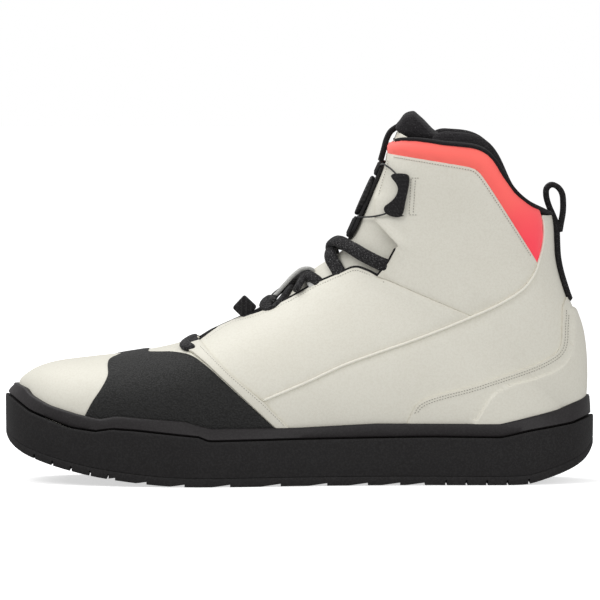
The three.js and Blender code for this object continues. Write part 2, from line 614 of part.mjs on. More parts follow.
// Rotary dial on the shin flap.
function buildDial() {
  const { cup, bore, floor, plate, half, up, down, wing, wingTop, wingHalf, knob, cap, top, skirt } = DIAL;
  const cupFloor = floor + 0.8;
  const housing = solid(lathe([[0, floor], [cup, floor], [cup, plate[1]], [bore, plate[1]], [bore, cupFloor],
    [0, cupFloor]]));
  const hole = solid(slab(stadium(bore, bore, bore), plate[0] - 1, plate[1] + 1));
  const flange = solid(slab(stadium(down, up, half), ...plate)).subtract(hole);
  const block = (from, to) => {
    const outline = [[from, -wingHalf], [to, -wingHalf], [to, wingHalf], [from, wingHalf]];
    return solid(slab(outline, plate[0], wingTop));
  };
  const lower = block(-down + 2, -wing);
  const upper = block(wing, up - 1);
  add('dial_base', housing.add(flange).add(lower).add(upper), black, 0.5, 0, dial);
  const spoolTop = plate[1] - 0.6;
  const spool = lathe([[2.1, floor + 1.1], [7.3, floor + 1.1], [7.3, floor + 1.7], [5.6, floor + 2.1],
    [5.6, spoolTop - 0.8], [7.3, spoolTop - 0.5], [7.3, spoolTop], [2.1, spoolTop], [2.1, floor + 1.1]], 24);
  add('dial_spool', spool, black, 0.5, 0, dial);
  const [postFoot, capFoot] = [floor + 1.4, skirt + 0.6];
  const post = lathe([[0, postFoot], [1.7, postFoot], [1.7, capFoot], [cap, capFoot], [cap, top],
    [0, top]], 24);
  add('dial_carrier', post, steel, 0.4, 1, dial);
  const grips = 12;
  const rim = [];
  for (let i = 0; i < grips * 4; i += 1) {
    const a = i / (grips * 4) * 2 * Math.PI;
    const r = i % 4 < 2 ? knob : knob - 0.6;
    rim.push([r * Math.cos(a), r * Math.sin(a)]);
  }
  const middle = solid(slab(stadium(cap + GAP, cap + GAP, cap + GAP), skirt - 1, top + 1));
  add('dial_knob', solid(slab(rim, skirt, top)).subtract(middle), black, 0.6, 0, dial);
}

// Cables run from the dial through a curved guide on each ankle panel and back.
const CABLE_SIDE = [[45.4, 161], [50, 157.2], [52.6, 152], [52.6, 146.5], [50, 140.5], [46.2, 137.2],
  [40.4, 135.2]];
const GUIDE_SIDE = [[49.6, 157.4], [52.6, 152], [52.6, 146.5], [50, 140.5], [46.6, 137.4]];

function buildCables() {
  for (const which of ['lateral', 'medial']) {
    const s = signOf[which];
    const route = [dialPlace(DIAL.up - 3, s * (DIAL.wingHalf + 1.1), -1.5),
      ...CABLE_SIDE.map(([x, z]) => onForm(x, z, which, 2.7)),
      dialPlace(-DIAL.wing, s * (DIAL.half + 1.4), -2.2)];
    add(`cable_${which}`, tube(route, CABLE, 22, 6), black, 0.4);
    const path = GUIDE_SIDE.map(([x, z]) => onForm(x, z, which, 2.9));
    const guide = solid(tube(path, 2.4, 10, 8));
    const bore = solid(tube(route, CABLE + 0.6, 22, 6));
    add(`cable_guide_${which}`, guide.subtract(bore), black, 0.7);
  }
}

// Laces over the throat.
function buildLaces() {
  const ridgeOver = (r, out) => {
    const p = new THREE.Vector3(form.ridge[0](r), form.mid(r), form.ridge[1](r));
    const q = new THREE.Vector3(form.ridge[0](r + 0.05), form.mid(r), form.ridge[1](r + 0.05));
    const n = q.sub(p).cross(new THREE.Vector3(0, 1, 0)).normalize();
    return p.addScaledVector(n, out);
  };
  const at = (x, z, which, out = 4.2) => onForm(x, z, which, out);
  const forefoot = [at(-53.5, 68.5, 'lateral'), at(-54.5, 72, 'lateral', 4.4), ridgeOver(6.2, 4.4),
    at(-53, 72.5, 'medial', 4.4), at(-45, 74.5, 'medial'), at(-32, 80.5, 'medial'), at(-19, 85.6, 'medial'),
    at(-15, 88.8, 'medial', 4.6), ridgeOver(7.9, 4.6), at(-14, 89.4, 'lateral', 4.6),
    at(-8, 90.4, 'lateral'), at(0, 95.5, 'lateral'), at(3.4, 99.6, 'lateral', 4.6), ridgeOver(8.95, 4.6),
    at(5, 100, 'medial', 4.6), at(9, 99, 'medial')];
  add('lace_forefoot', tube(forefoot, LACE, 44, 6), black, 0.9);
  const over = [at(40.5, 108.8, 'lateral'), at(35, 113.6, 'lateral', 4.6), at(27.5, 118.4, 'lateral', 5),
    ridgeOver(11.1, 6.6), at(20.4, 114.5, 'medial', 10.4), at(20.6, 108.4, 'medial', 5.6),
    at(22.4, 104.2, 'medial')];
  const under = [at(40.5, 108.8, 'medial'), at(35, 112.6, 'medial', 4.2), at(26.5, 115.4, 'medial', 3.8),
    ridgeOver(10.55, 3.4), at(17, 109.6, 'lateral', 4.2), at(19, 104, 'lateral')];
  add('lace_instep_over', tube(over, LACE, 20, 6), black, 0.9);
  add('lace_instep_under', tube(under, LACE, 20, 6), black, 0.9);
  const keeper = [[-6, 0], [0, -5.4], [6, 0], [0, 5.4]].map(([x, z]) => [x - 27.4, z + 89.2]);
  add('lace_keeper', acrossBoot(keeper, -6.5, 6.5).subtract(filled(skin, GAP)), black, 0.9);
  const tabs = [['front', [-45.6, 66.6], [-49.4, 69.2]], ['middle', [-12.4, 78.6], [-14.2, 84.6]],
    ['rear', [8.6, 90.4], [6.6, 94.4]]];
  for (const which of ['lateral', 'medial']) {
    for (const [where, low, high] of tabs) {
      const route = [at(...low, which, 1.9), at((low[0] + high[0]) / 2, (low[1] + high[1]) / 2, which, 1.9),
        at(...high, which, 1.9)];
      add(`lace_loop_${where}_${which}`, tube(route, 1.2, 3, 6), stiffGrey, 0.9);
    }
  }
}

// Rolled edge of the collar and the webbing at the heel.
function buildCollarAndLoop() {
  const rimLine = shifted(RIM, -BINDING - 0.1).slice(2, -1);
  const rimAt = (which) => rimLine.map(([x, z]) => onForm(x, z, which, -4.5));
  const route = [...rimAt('lateral'), new THREE.Vector3(125.2, 0, 134.4), ...back(rimAt('medial'))];
  add('collar_binding', tube(route, BINDING, 38, 6), black, 0.9);
  const line = [];
  for (let r = 15.95; r < 17.75; r += 0.25) line.push([form.foot[0](r), form.foot[1](r)]);
  const offset = (out) => line.map(([x, z], i) => {
    const [a, b] = [line[Math.max(0, i - 1)], line[Math.min(line.length - 1, i + 1)]];
    const length = Math.hypot(b[0] - a[0], b[1] - a[1]);
    return [x + (b[1] - a[1]) / length * out, z - (b[0] - a[0]) / length * out];
  });
  add('heel_strap', acrossBoot([...offset(0.6), ...back(offset(2.4))], -LOOP_HALF, LOOP_HALF), black, 0.9);
  const outer = smooth([[131.6, 131.4], [127.8, 138], [124.8, 146.5], [126, 151], [128.6, 152.3],
    [131.8, 151.3], [135.4, 147.3], [137.1, 140.9], [136.2, 135], [133.9, 131.4]], 2);
  const inner = smooth([[132.4, 134.2], [129.4, 139.2], [126.9, 146.2], [128, 149.6], [131, 149.1],
    [133.9, 146], [135.3, 140.9], [134.5, 136.4]], 2);
  add('heel_loop', acrossBoot(outer, -LOOP_HALF, LOOP_HALF).subtract(acrossBoot(inner)), black, 0.9);
}

buildSole();
buildUpper();
buildLining();
buildTongue();
buildDial();
buildCables();
buildLaces();
buildCollarAndLoop();

export default part;
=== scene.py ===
import math

import bpy
import numpy as np
from mathutils import Matrix, Vector
from mathutils.bvhtree import BVHTree
from mathutils.geometry import delaunay_2d_cdt


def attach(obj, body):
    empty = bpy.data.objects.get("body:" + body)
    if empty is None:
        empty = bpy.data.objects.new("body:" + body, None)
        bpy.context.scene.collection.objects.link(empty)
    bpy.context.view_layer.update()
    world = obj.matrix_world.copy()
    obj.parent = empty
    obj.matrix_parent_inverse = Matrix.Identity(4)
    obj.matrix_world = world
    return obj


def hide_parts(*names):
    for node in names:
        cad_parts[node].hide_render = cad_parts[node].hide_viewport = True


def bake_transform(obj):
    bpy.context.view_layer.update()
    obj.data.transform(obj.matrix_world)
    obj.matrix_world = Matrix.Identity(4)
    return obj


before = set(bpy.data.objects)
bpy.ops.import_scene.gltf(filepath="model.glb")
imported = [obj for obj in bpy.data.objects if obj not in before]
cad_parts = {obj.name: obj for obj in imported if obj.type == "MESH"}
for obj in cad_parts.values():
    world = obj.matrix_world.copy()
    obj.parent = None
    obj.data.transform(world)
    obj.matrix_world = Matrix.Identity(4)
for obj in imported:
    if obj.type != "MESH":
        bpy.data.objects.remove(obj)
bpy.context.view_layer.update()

bl_info = {
    "name": "Dial closure boot",
    "version": (1, 0, 0),
    "blender": (4, 5, 0),
    "location": "View3D > Sidebar > Boot",
    "description": "Builds a left high-top boot with a cupsole and a dial closure around its packed frame",
    "category": "Object",
}

MM = 0.001
CENTRE = np.array([-0.25, 1.5, 0.0])     # the footprint's middle stands on the origin
LATERAL, MEDIAL = -1, 1
SIDES = {"lateral": LATERAL, "medial": MEDIAL}

# ------------------------------------------------------------------ the form of the upper
# Sections from the toe tip round the sole and up the heel line, in millimetres:
# foot x, z, ridge x, z, middle y, half widths at the foot (outer, inner), widest half widths
# (outer, inner), how far up the widest place is, how closed the foot end is, how square the top is.
STATIONS = np.array([
    (-143.5, 22, -143.5, 49, 7, 0, 0, 0, 0, 0.35, 1.2, 2.5),
    (-141, 22, -141.5, 52.5, 7, 14, 13, 14.5, 13.5, 0.35, 1.2, 2.5),
    (-134, 22, -134.5, 57.3, 6, 26, 24, 27, 25, 0.35, 1.2, 2.5),
    (-123, 22, -123.5, 60.8, 5, 36, 33, 37.5, 34.5, 0.35, 1.2, 2.45),
    (-105, 22, -105.5, 63.2, 3.5, 43.5, 40, 45, 42, 0.34, 1.2, 2.4),
    (-80, 22, -82, 66, 1.5, 48, 44, 50, 46, 0.33, 1.2, 2.3),
    (-52, 22, -58, 71.3, 0.5, 48.5, 43.5, 50.5, 46, 0.32, 1.2, 2.2),
    (-12, 22, -34, 81.5, 0, 44, 36.5, 47, 41, 0.3, 1.2, 2.05),
    (20, 22, -13, 91.5, 0, 38, 31, 43, 38, 0.3, 1.2, 1.95),
    (52, 22, 5, 103, 0, 34.5, 30.5, 40, 37, 0.3, 1.2, 1.9),
    (84, 22, 15.5, 111.5, 0, 33.5, 31.5, 38.5, 37, 0.32, 1.2, 1.9),
    (112, 22, 22, 118, 0, 31, 30, 37, 36, 0.36, 1.3, 2),
    (131.5, 23, 25.2, 124, 0, 17, 16.5, 35.5, 35, 0.4, 1.6, 2.2),
    (140.5, 31, 29, 131.8, 0, 0, 0, 34.5, 34, 0.42, 2, 2.5),
    (144.5, 48, 32.6, 140, 0, 0, 0, 34, 34, 0.43, 2.1, 2.8),
    (143, 75, 36.4, 149, 0, 0, 0, 33.5, 33.5, 0.44, 2.1, 3),
    (135.2, 97, 40.4, 158, 0, 0, 0, 33.5, 33.5, 0.45, 2.1, 3.1),
    (131, 113, 44.2, 168, 0, 0, 0, 34, 34, 0.46, 2.1, 3.1),
    (129.5, 134, 48.2, 179, 0, 0, 0, 35, 35, 0.48, 2.1, 2.8),
    (124, 164, 53, 193, 0, 0, 0, 36, 36, 0.5, 2.1, 2.2),
])
LAST = len(STATIONS) - 1
AROUND = 80.0      # millimetres of leather for one unit across a section

# Seams and edges in side view.
RIM = [(45.5, 173), (51, 174.9), (61, 174.9), (74, 173), (88, 171.6), (94, 169.6), (99.5, 164.5),
       (105, 155.5), (111, 147.5), (118, 142), (124, 139), (129.3, 137)]
COLLAR_EDGE = [(45, 167.3), (68.5, 163.5), (84, 160.9), (88.6, 159.8), (91.4, 157.6), (94.6, 153.3),
               (101.8, 142.4), (119.6, 114.3), (121, 111.9)]
ANKLE_BACK = [(121, 111.9), (119.6, 106.8), (114, 99.2), (101.8, 91.3), (87.7, 84.8)]
COLLAR_BACK = [(121, 111.9), (123.4, 120), (124.1, 127.5), (123.2, 136)]
WELT = [(-18.4, 42.8), (5.4, 52.6), (21.6, 60), (37.8, 65.9), (62.1, 74.4), (87.7, 84.8)]
WELT_REAR = [(121.6, 113), (123.6, 121), (124.2, 128), (123.6, 134)]
QUARTER_TOP = [(87.7, 84.8), (74.2, 90.6), (58.9, 97.1), (45.9, 102.7), (40.3, 104.8)]
EYESTAY = [(40.3, 104.8), (35.4, 107.4), (28.9, 109.2), (21.6, 106.4), (8.6, 100.6), (-5.9, 92.6),
           (-20.5, 86), (-34, 82), (-41.1, 78.2), (-50.8, 71.8)]
QUARTER_FRONT = [(-50.8, 71.8), (-35.5, 56.2), (-18.4, 42.8), (-2, 27)]
SHIN_EDGE = [(40.3, 104.8), (50.8, 120.6), (39.4, 132.7), (39.1, 144.4), (41.1, 151.5), (44.2, 161.7),
             (45, 167.3)]
PATCH_FRONT = [(-88, 65.3), (-92.2, 64.2), (-96.6, 61.9), (-96.5, 55.2), (-99.6, 48.8), (-104.2, 42),
               (-110, 31), (-112, 27)]
PATCH_REAR = [(-76.5, 66.1), (-70, 66.3), (-63.8, 66.5), (-54.5, 65.1), (-47.4, 60.8), (-33.2, 48.5),
              (-12.4, 29.4), (-9.6, 26.4)]
HEEL_OVERLAY_TOP = [(54.5, 31), (56.2, 34.5), (60.5, 41.5), (92.4, 51.4), (125.2, 63.1), (131.8, 68.3),
                    (133.2, 80.5), (133.7, 89.8), (135.5, 93.6)]
HEEL_RIDGE = [(89.5, 32.6), (99.9, 46.7), (120.6, 54.2), (129.9, 58), (135.5, 63.6), (137, 71.1),
              (137.4, 87.1)]
RAND_TOP = [(-152, 50), (-143.4, 48), (-139.5, 44.9), (-134, 42.6), (-128.4, 40.3), (-112.9, 36),
            (-106.9, 34.8), (-101, 33.7), (-92.5, 35.3), (-84, 34.6), (-57, 32.6), (-50.2, 30.6),
            (-43.5, 29), (0.5, 29.4), (39.3, 31.2), (101.8, 30.8), (119.2, 34.4), (135.4, 37.6),
            (147.7, 42.6), (154, 46)]
GROOVE = [(-152, 45), (-146.9, 42.8), (-137.2, 36.4), (-122.6, 31.1), (-116.2, 28.9), (-102.7, 27.2),
          (-94.2, 28.5), (-80.7, 27.7), (-50.2, 24.6), (-45.1, 22.5), (0.5, 23.3), (68.5, 24.1),
          (102.5, 23.6), (117, 26.8), (139.9, 30.3), (154, 35)]
UNDERSIDE = [(-152, 31), (-149.4, 22), (-143.6, 16.5), (-131.5, 11.4), (-107.1, 5.3), (-82.7, 1.8),
             (-60, 0), (0, 0), (60, 0), (113, 0), (118, 0.6), (125, 2.5), (136.5, 6.3), (144, 9.9),
             (148, 13.6), (150.6, 18), (153, 23)]
SOLE_PLAN = [(-150, 7), (-146, -12), (-136, -26.5), (-118, -40), (-90, -51), (-58, -56), (-25, -53),
             (10, -46), (45, -41.5), (85, -40), (118, -37), (138, -26), (147.6, -12), (150.5, 0),
             (147.6, 12), (138, 25.5), (118, 36), (85, 38.5), (45, 36), (10, 37), (-25, 44), (-58, 51),
             (-90, 53), (-118, 46.5), (-136, 36), (-146, 24)]
LUG_EDGES = [-92.5, -76.6, -57.4, -34.5, -9.1, 14.4, 35, 51.3, 63.8]
SIPES = [-142.6, -134.1, -124.7, -115.1, -105.3, -96.2, 74.5, 84.8, 95.2, 105.6, 116.5]
DIAL_FACE, DIAL_TILT = (33, 145.8), 24.2


def columns(r):
    """All the section values at rows r, smooth between the stations."""
    r = np.clip(np.asarray(r, float), 0, LAST)
    i = np.minimum(r.astype(int), LAST - 1)
    f = (r - i)[:, None]
    p0, p1 = STATIONS[np.maximum(i - 1, 0)], STATIONS[i]
    p2, p3 = STATIONS[i + 1], STATIONS[np.minimum(i + 2, LAST)]
    m1 = np.where((i == 0)[:, None], p2 - p1, (p2 - p0) / 2)
    m2 = np.where((i + 1 == LAST)[:, None], p2 - p1, (p3 - p1) / 2)
    return (p1 + f * (m1 + f * (3 * (p2 - p1) - 2 * m1 - m2 + f * (m1 + m2 - 2 * (p2 - p1))))).T


def form_points(r, t, side):
    """Points of the form: t is 0 on the ridge, 0.5 at the widest place, 1 at the sole or heel line."""
    fx, fz, rx, rz, mid, low0, low1, wide0, wide1, at, heel, top = columns(r)
    t = np.clip(np.asarray(t, float), 0, 1)
    inner = np.asarray(side) > 0
    low = np.maximum(0, np.where(inner, low1, low0))
    wide = np.maximum(low, np.where(inner, wide1, wide0))
    a = math.pi / 2 * np.abs(1 - 2 * t)
    cos, sin = np.maximum(0, np.cos(a)), np.sin(a)
    upper = t <= 0.5
    width = np.where(upper, wide * cos ** (2 / top), low + (wide - low) * cos ** (2 / heel))
    up = np.where(upper, at + (1 - at) * sin ** (2 / top), at * (1 - sin))
    return np.stack([fx + (rx - fx) * up, mid + np.where(inner, width, -width), fz + (rz - fz) * up], 1)


def skin(r, v, heel=False):
    """Points and outward normals.

    v runs from -1, at the outer side of the sole, over the ridge, to 1; with heel it runs round the heel.
    """
    def points(rr, vv):
        reach = np.abs(vv)
        return form_points(rr, 1 - reach if heel else reach, np.where(vv > 0, 1, -1))
    r, v = np.asarray(r, float), np.asarray(v, float)
    dr, dv = 0.03, 0.006
    along = points(np.minimum(r + dr, LAST), v) - points(np.maximum(r - dr, 0), v)
    around = points(r, v + dv) - points(r, v - dv)
    n = np.cross(along, around) * (-1 if heel else 1)
    length = np.linalg.norm(n, axis=1)
    n = n / np.maximum(length, 1e-9)[:, None]
    n[length < 1e-7] = (-1, 0, 0)
    return points(r, v), n


def place(xz):
    """Rows and t of side-view points."""
    xz = np.asarray(xz, float)
    low, high = np.zeros(len(xz)), np.full(len(xz), float(LAST))
    for _ in range(40):
        r = (low + high) / 2
        c = columns(r)
        ahead = (c[2] - c[0]) * (xz[:, 1] - c[1]) - (c[3] - c[1]) * (xz[:, 0] - c[0]) < 0
        low, high = np.where(ahead, r, low), np.where(ahead, high, r)
    r = (low + high) / 2
    fx, fz, rx, rz = columns(r)[:4]
    at, top = columns(r)[9], columns(r)[11]
    up = np.clip(np.hypot(xz[:, 0] - fx, xz[:, 1] - fz) / np.hypot(rx - fx, rz - fz), 0, 1)
    high_t = 0.5 * (1 - np.arcsin(np.clip((up - at) / (1 - at), 0, 1) ** (top / 2)) / (math.pi / 2))
    low_t = 0.5 + 0.5 * np.arcsin(np.clip(1 - up / at, 0, 1)) / (math.pi / 2)
    return r, np.where(up >= at, high_t, low_t)


def on_form(xz, side, out=0.0):
    """Points on the form under side-view points, lifted by out."""
    r, t = place(xz)
    p, n = skin(r, t * side)
    return p + n * np.reshape(out, (-1, 1)), n


# ------------------------------------------------------------------ curves
def between(start, end, t, low, high):
    """Goes from start to end as t goes from low to high."""
    return (high - t) / (high - low) * start + (t - low) / (high - low) * end


def spline(points, step=1.2, closed=False):
    """Centripetal curve through the points, at an even step."""
    p = np.asarray(points, float)
    if closed:
        p = np.vstack([p[-1:], p, p[:2]])
    else:
        p = np.vstack([2 * p[:1] - p[1:2], p, 2 * p[-1:] - p[-2:-1]])
    out = []
    for i in range(1, len(p) - 2):
        q = p[i - 1:i + 3]
        k = np.concatenate([[0], np.cumsum(np.sqrt(np.linalg.norm(np.diff(q, axis=0), axis=1)) + 1e-9)])
        n = max(2, int(np.linalg.norm(q[2] - q[1]) / (step * 0.4)))
        t = np.linspace(k[1], k[2], n, endpoint=False)[:, None]
        a = [between(q[j], q[j + 1], t, k[j], k[j + 1]) for j in range(3)]
        b = [between(a[j], a[j + 1], t, k[j], k[j + 2]) for j in range(2)]
        out.append(between(b[0], b[1], t, k[1], k[2]))
    out.append(p[-2:-1])
    return even(np.vstack(out), step)


def even(points, step):
    """The same line at an even step."""
    p = np.asarray(points, float)
    s = np.concatenate([[0], np.cumsum(np.linalg.norm(np.diff(p, axis=0), axis=1))])
    n = max(1, int(round(s[-1] / step)))
    want = np.linspace(0, s[-1], n + 1)
    return np.stack([np.interp(want, s, p[:, k]) for k in range(p.shape[1])], 1)


def shifted(points, out):
    """The line moved to the left of its direction."""
    p = np.asarray(points, float)
    d = np.gradient(p, axis=0)
    d /= np.maximum(np.linalg.norm(d, axis=1), 1e-9)[:, None]
    return p + np.stack([-d[:, 1], d[:, 0]], 1) * out


def height(line, x):
    """Height of a side-view line at x."""
    return np.interp(x, [p[0] for p in line], [p[1] for p in line])


def corners(points, step=1.2):
    """Straight runs between corners, at an even step."""
    p = np.asarray(points, float)
    return np.vstack([even(p[i:i + 2], step)[:-1] for i in range(len(p) - 1)] + [p[-1:]])


UNDER_LINE = spline(UNDERSIDE, 1.5)


# ------------------------------------------------------------------ meshes
def mesh_object(name, points, faces, material):
    """A mesh object with its points as given."""
    mesh = bpy.data.meshes.new(name)
    mesh.from_pydata([tuple(p) for p in points], [], [tuple(f) for f in faces])
    obj = bpy.data.objects.new(name, mesh)
    bpy.context.scene.collection.objects.link(obj)
    mesh.materials.append(material)
    return obj


def new_object(name, points, faces, material):
    """A mesh object in its place in the boot, from points in millimetres."""
    return mesh_object(name, ((np.asarray(points) + CENTRE) * MM).tolist(), faces, material)


def tube_faces(rings, count, closed=False):
    """Quads round each ring of points and from ring to ring; closed joins the last ring to the first."""
    faces = []
    for i in range(rings if closed else rings - 1):
        j = (i + 1) % rings
        for k in range(count):
            q = (k + 1) % count
            faces.append((i * count + k, i * count + q, j * count + q, j * count + k))
    return faces


def make_smooth(obj, angle):
    """Smooth shading with hard edges above the angle."""
    pick(obj)
    bpy.ops.object.shade_smooth_by_angle(angle=math.radians(angle), keep_sharp_edges=False)


def pick(obj):
    """Makes this the only selected object and the active one."""
    bpy.ops.object.select_all(action="DESELECT")
    obj.select_set(True)
    bpy.context.view_layer.objects.active = obj


def finish_with(obj, kind, **settings):
    """Adds a modifier and applies it."""
    pick(obj)
    m = obj.modifiers.new(kind.title(), kind)
    for key, value in settings.items():
        setattr(m, key, value)
    bpy.ops.object.modifier_apply(modifier=m.name)


def round_edges(obj, width, segments=3, angle=40):
    """Bevels the edges that turn by more than the angle."""
    if width:
        finish_with(obj, "BEVEL", width=width, segments=segments, limit_method="ANGLE",
                    angle_limit=math.radians(angle))


def hand_over(obj, body, slot, nodes=(), bend=None):
    """Hides the frame pieces it replaces and puts a finished piece on its body, or with bend leaves it on no
    body with its placement baked in.
    """
    if nodes:
        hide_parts(*nodes)
    if bend:
        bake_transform(obj)
    else:
        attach(obj, body)
    return obj


def inside(points, loop):
    """Which points lie inside a closed outline."""
    x, y = points[:, 0], points[:, 1]
    result = np.zeros(len(points), bool)
    for (ax, ay), (bx, by) in zip(loop, np.roll(loop, -1, axis=0)):
        crosses = (ay > y) != (by > y)
        if crosses.any():
            result ^= crosses & (x < (bx - ax) * (y - ay) / (by - ay + 1e-12) + ax)
    return result


def reach_to(points, loop):
    """Distance of each point to the nearest point of an outline."""
    best = np.full(len(points), 1e9)
    for start in range(0, len(loop), 64):
        part = loop[start:start + 64]
        best = np.minimum(best, np.linalg.norm(points[:, None] - part[None], axis=2).min(1))
    return best


# Length of leather along the form between the stations, used to lay panels out flat.
ROW = np.linspace(0, LAST, LAST * 8 + 1)
ROW_POINTS = form_points(ROW, np.full(len(ROW), 0.33), LATERAL)
ROW_LENGTH = np.concatenate([[0], np.cumsum(np.linalg.norm(np.diff(ROW_POINTS, axis=0), axis=1))])


def flat(r, v):
    """Flat coordinates of (row, v)."""
    return np.stack([np.interp(r, ROW, ROW_LENGTH), np.asarray(v) * AROUND], 1)


def unflat(uv):
    """Rows and v of flat coordinates."""
    return np.interp(uv[:, 0], ROW_LENGTH, ROW), uv[:, 1] / AROUND


def panel(name, outline, material, lift, thick, spacing=2.0, heel=False, relief=None, bevel=0.35, creases=()):
    """A panel cut to a flat outline of (row, v), laid on the form and given its thickness.

    Its mesh has points along the creases, so relief can step there.
    """
    loop = flat(*np.asarray(outline, float).T)
    loop = even(np.vstack([loop, loop[:1]]), spacing * 0.6)[:-1]
    low, high = loop.min(0), loop.max(0)
    rise = spacing * math.sqrt(3) / 2
    grid = []
    for j, y in enumerate(np.arange(low[1], high[1], rise)):
        x = np.arange(low[0] + (j % 2) * spacing / 2, high[0], spacing)
        grid.append(np.stack([x, np.full(len(x), y)], 1))
    grid = np.vstack(grid)
    grid = grid[inside(grid, loop)]
    grid = grid[reach_to(grid, loop) > spacing * 0.62]
    for crease in creases:
        line = even(flat(*np.asarray(crease).T), spacing * 0.6)
        grid = grid[reach_to(grid, line) > spacing * 0.45]
        grid = np.vstack([grid, line[inside(line, loop) & (reach_to(line, loop) > spacing * 0.5)]])
    points = np.vstack([loop, grid])
    made = delaunay_2d_cdt([Vector(p) for p in points], [], [list(range(len(loop)))], 1, 1e-5)
    uv = np.array([tuple(p) for p in made[0]])
    edge = reach_to(uv, even(np.vstack([loop, loop[:1]]), 0.5))
    r, v = unflat(uv)
    p, n = skin(r, v, heel)
    bump = relief(p, edge) if relief else 0
    p = p + n * np.reshape(lift + bump, (-1, 1))
    faces = np.array([tuple(f) for f in made[2]])
    a, b, c = p[faces[:, 0]], p[faces[:, 1]], p[faces[:, 2]]
    facing = (np.cross(b - a, c - a) * n[faces[:, 0]]).sum(1)
    if np.median(facing) < 0:
        faces = faces[:, ::-1]
    obj = new_object(name, p, faces, material)
    # Each point's distance to the cut edge; the leather finish darkens by it as painted shade near the edges.
    layer = obj.data.attributes.new("edge", "FLOAT", "POINT")
    layer.data.foreach_set("value", edge.astype(np.float32))
    add_uv(obj, uv)
    pick(obj)
    bpy.ops.object.mode_set(mode="EDIT")
    bpy.ops.mesh.select_all(action="SELECT")
    bpy.ops.mesh.remove_doubles(threshold=0.05 * MM)
    bpy.ops.object.mode_set(mode="OBJECT")
    finish_with(obj, "SOLIDIFY", thickness=thick * MM, offset=-1, use_even_offset=False)
    round_edges(obj, bevel * MM, 2, 55)
    make_smooth(obj, 50)
    return obj


def add_uv(obj, uv):
    """Stores flat coordinates, in centimetres, as the piece's UV map."""
    layer = obj.data.uv_layers.new(name="flat")
    index = np.zeros(len(obj.data.loops), int)
    obj.data.loops.foreach_get("vertex_index", index)
    layer.data.foreach_set("uv", (np.asarray(uv)[index] * MM * 10).ravel().astype(np.float32))


def side_outline(points, side):
    """Side-view outline as (row, v) on one side."""
    r, t = place(points)
    return np.stack([r, t * side], 1)


def sweep(name, route, section, material, normals=None, taper=0.0):
    """A bar along a route in millimetres, rounded at its ends over taper; section is (across, out) points."""
    p = np.asarray(route, float)
    tangent = np.gradient(p, axis=0)
    tangent /= np.linalg.norm(tangent, axis=1)[:, None]
    if normals is None:
        n = [np.cross(tangent[0], (0.2, 1, 0.3))]
        for t in tangent[1:]:
            n.append(n[-1] - t * n[-1].dot(t))
            n[-1] /= np.linalg.norm(n[-1])
        normals = np.array(n)
    normals = normals - tangent * (normals * tangent).sum(1)[:, None]
    normals /= np.linalg.norm(normals, axis=1)[:, None]
    across = np.cross(tangent, normals)
    section = np.asarray(section, float)
    length = np.concatenate([[0], np.cumsum(np.linalg.norm(np.diff(p, axis=0), axis=1))])
    size = np.ones(len(p))
    if taper:
        near = np.minimum(length, length[-1] - length) / taper
        size = np.sqrt(np.clip(1 - (1 - np.clip(near, 0, 1)) ** 2, 0, 1)) * 0.9 + 0.1
    count = len(section)
    points = (p[:, None] + across[:, None] * section[None, :, :1] * size[:, None, None]
              + normals[:, None] * section[None, :, 1:] * size[:, None, None]).reshape(-1, 3)
    faces = tube_faces(len(p), count)
    faces += [tuple(reversed(range(count))), tuple(range(len(points) - count, len(points)))]
    obj = new_object(name, points, faces, material)
    around = np.concatenate([[0], np.cumsum(np.linalg.norm(np.diff(section, axis=0), axis=1))])
    add_uv(obj, np.stack([np.repeat(length, count), np.tile(around, len(p))], 1))
    fix_normals(obj)
    make_smooth(obj, 60)
    return obj


def fix_normals(obj):
    """Turns all faces outwards."""
    pick(obj)
    bpy.ops.object.mode_set(mode="EDIT")
    bpy.ops.mesh.select_all(action="SELECT")
    bpy.ops.mesh.normals_make_consistent(inside=False)
    bpy.ops.object.mode_set(mode="OBJECT")


def oval(across, out, sides=12, square=2.0):
    """A rounded section; square above 2 flattens its sides."""
    a = np.arange(sides) / sides * 2 * math.pi
    return np.stack([size * np.sign(wave) * np.abs(wave) ** (2 / square)
                     for size, wave in ((across, np.cos(a)), (out, np.sin(a)))], 1)


def stitches(name, runs, material, pitch=2.7, length=1.9, thick=0.28, sink=0.05):
    """Rows of thread stitches; each run is (points, normals) on a surface."""
    rings = [(-0.5, 0.35), (-0.36, 0.9), (0, 1), (0.36, 0.9), (0.5, 0.35)]
    sides = 6
    shell = np.array(tube_faces(len(rings), sides))
    points, faces = [], []
    for line, normals in runs:
        s = np.concatenate([[0], np.cumsum(np.linalg.norm(np.diff(line, axis=0), axis=1))])
        count = int(s[-1] / pitch)
        for k in range(count):
            mid = (k + 0.5) * s[-1] / count

            def along(values, at):
                return np.array([np.interp(at, s, values[:, q]) for q in range(3)])

            a, b, n = along(line, mid - length / 2), along(line, mid + length / 2), along(normals, mid)
            d = (b - a) / max(np.linalg.norm(b - a), 1e-9)
            n = n - d * n.dot(d)
            n /= np.linalg.norm(n)
            w = np.cross(d, n)
            base = len(points)
            for f, size in rings:
                centre = (a + b) / 2 + d * f * length + n * (thick * (size - 1) * 0.6 - sink)
                for q in range(sides):
                    angle = q / sides * 2 * math.pi
                    points.append(centre + (w * math.cos(angle) * 1.15 + n * math.sin(angle)) * thick * size)
            faces += (shell + base).tolist()
            faces.append(tuple(base + q for q in reversed(range(sides))))
            faces.append(tuple(base + (len(rings) - 1) * sides + q for q in range(sides)))
    obj = new_object(name, points, faces, material)
    fix_normals(obj)
    make_smooth(obj, 70)
    return obj


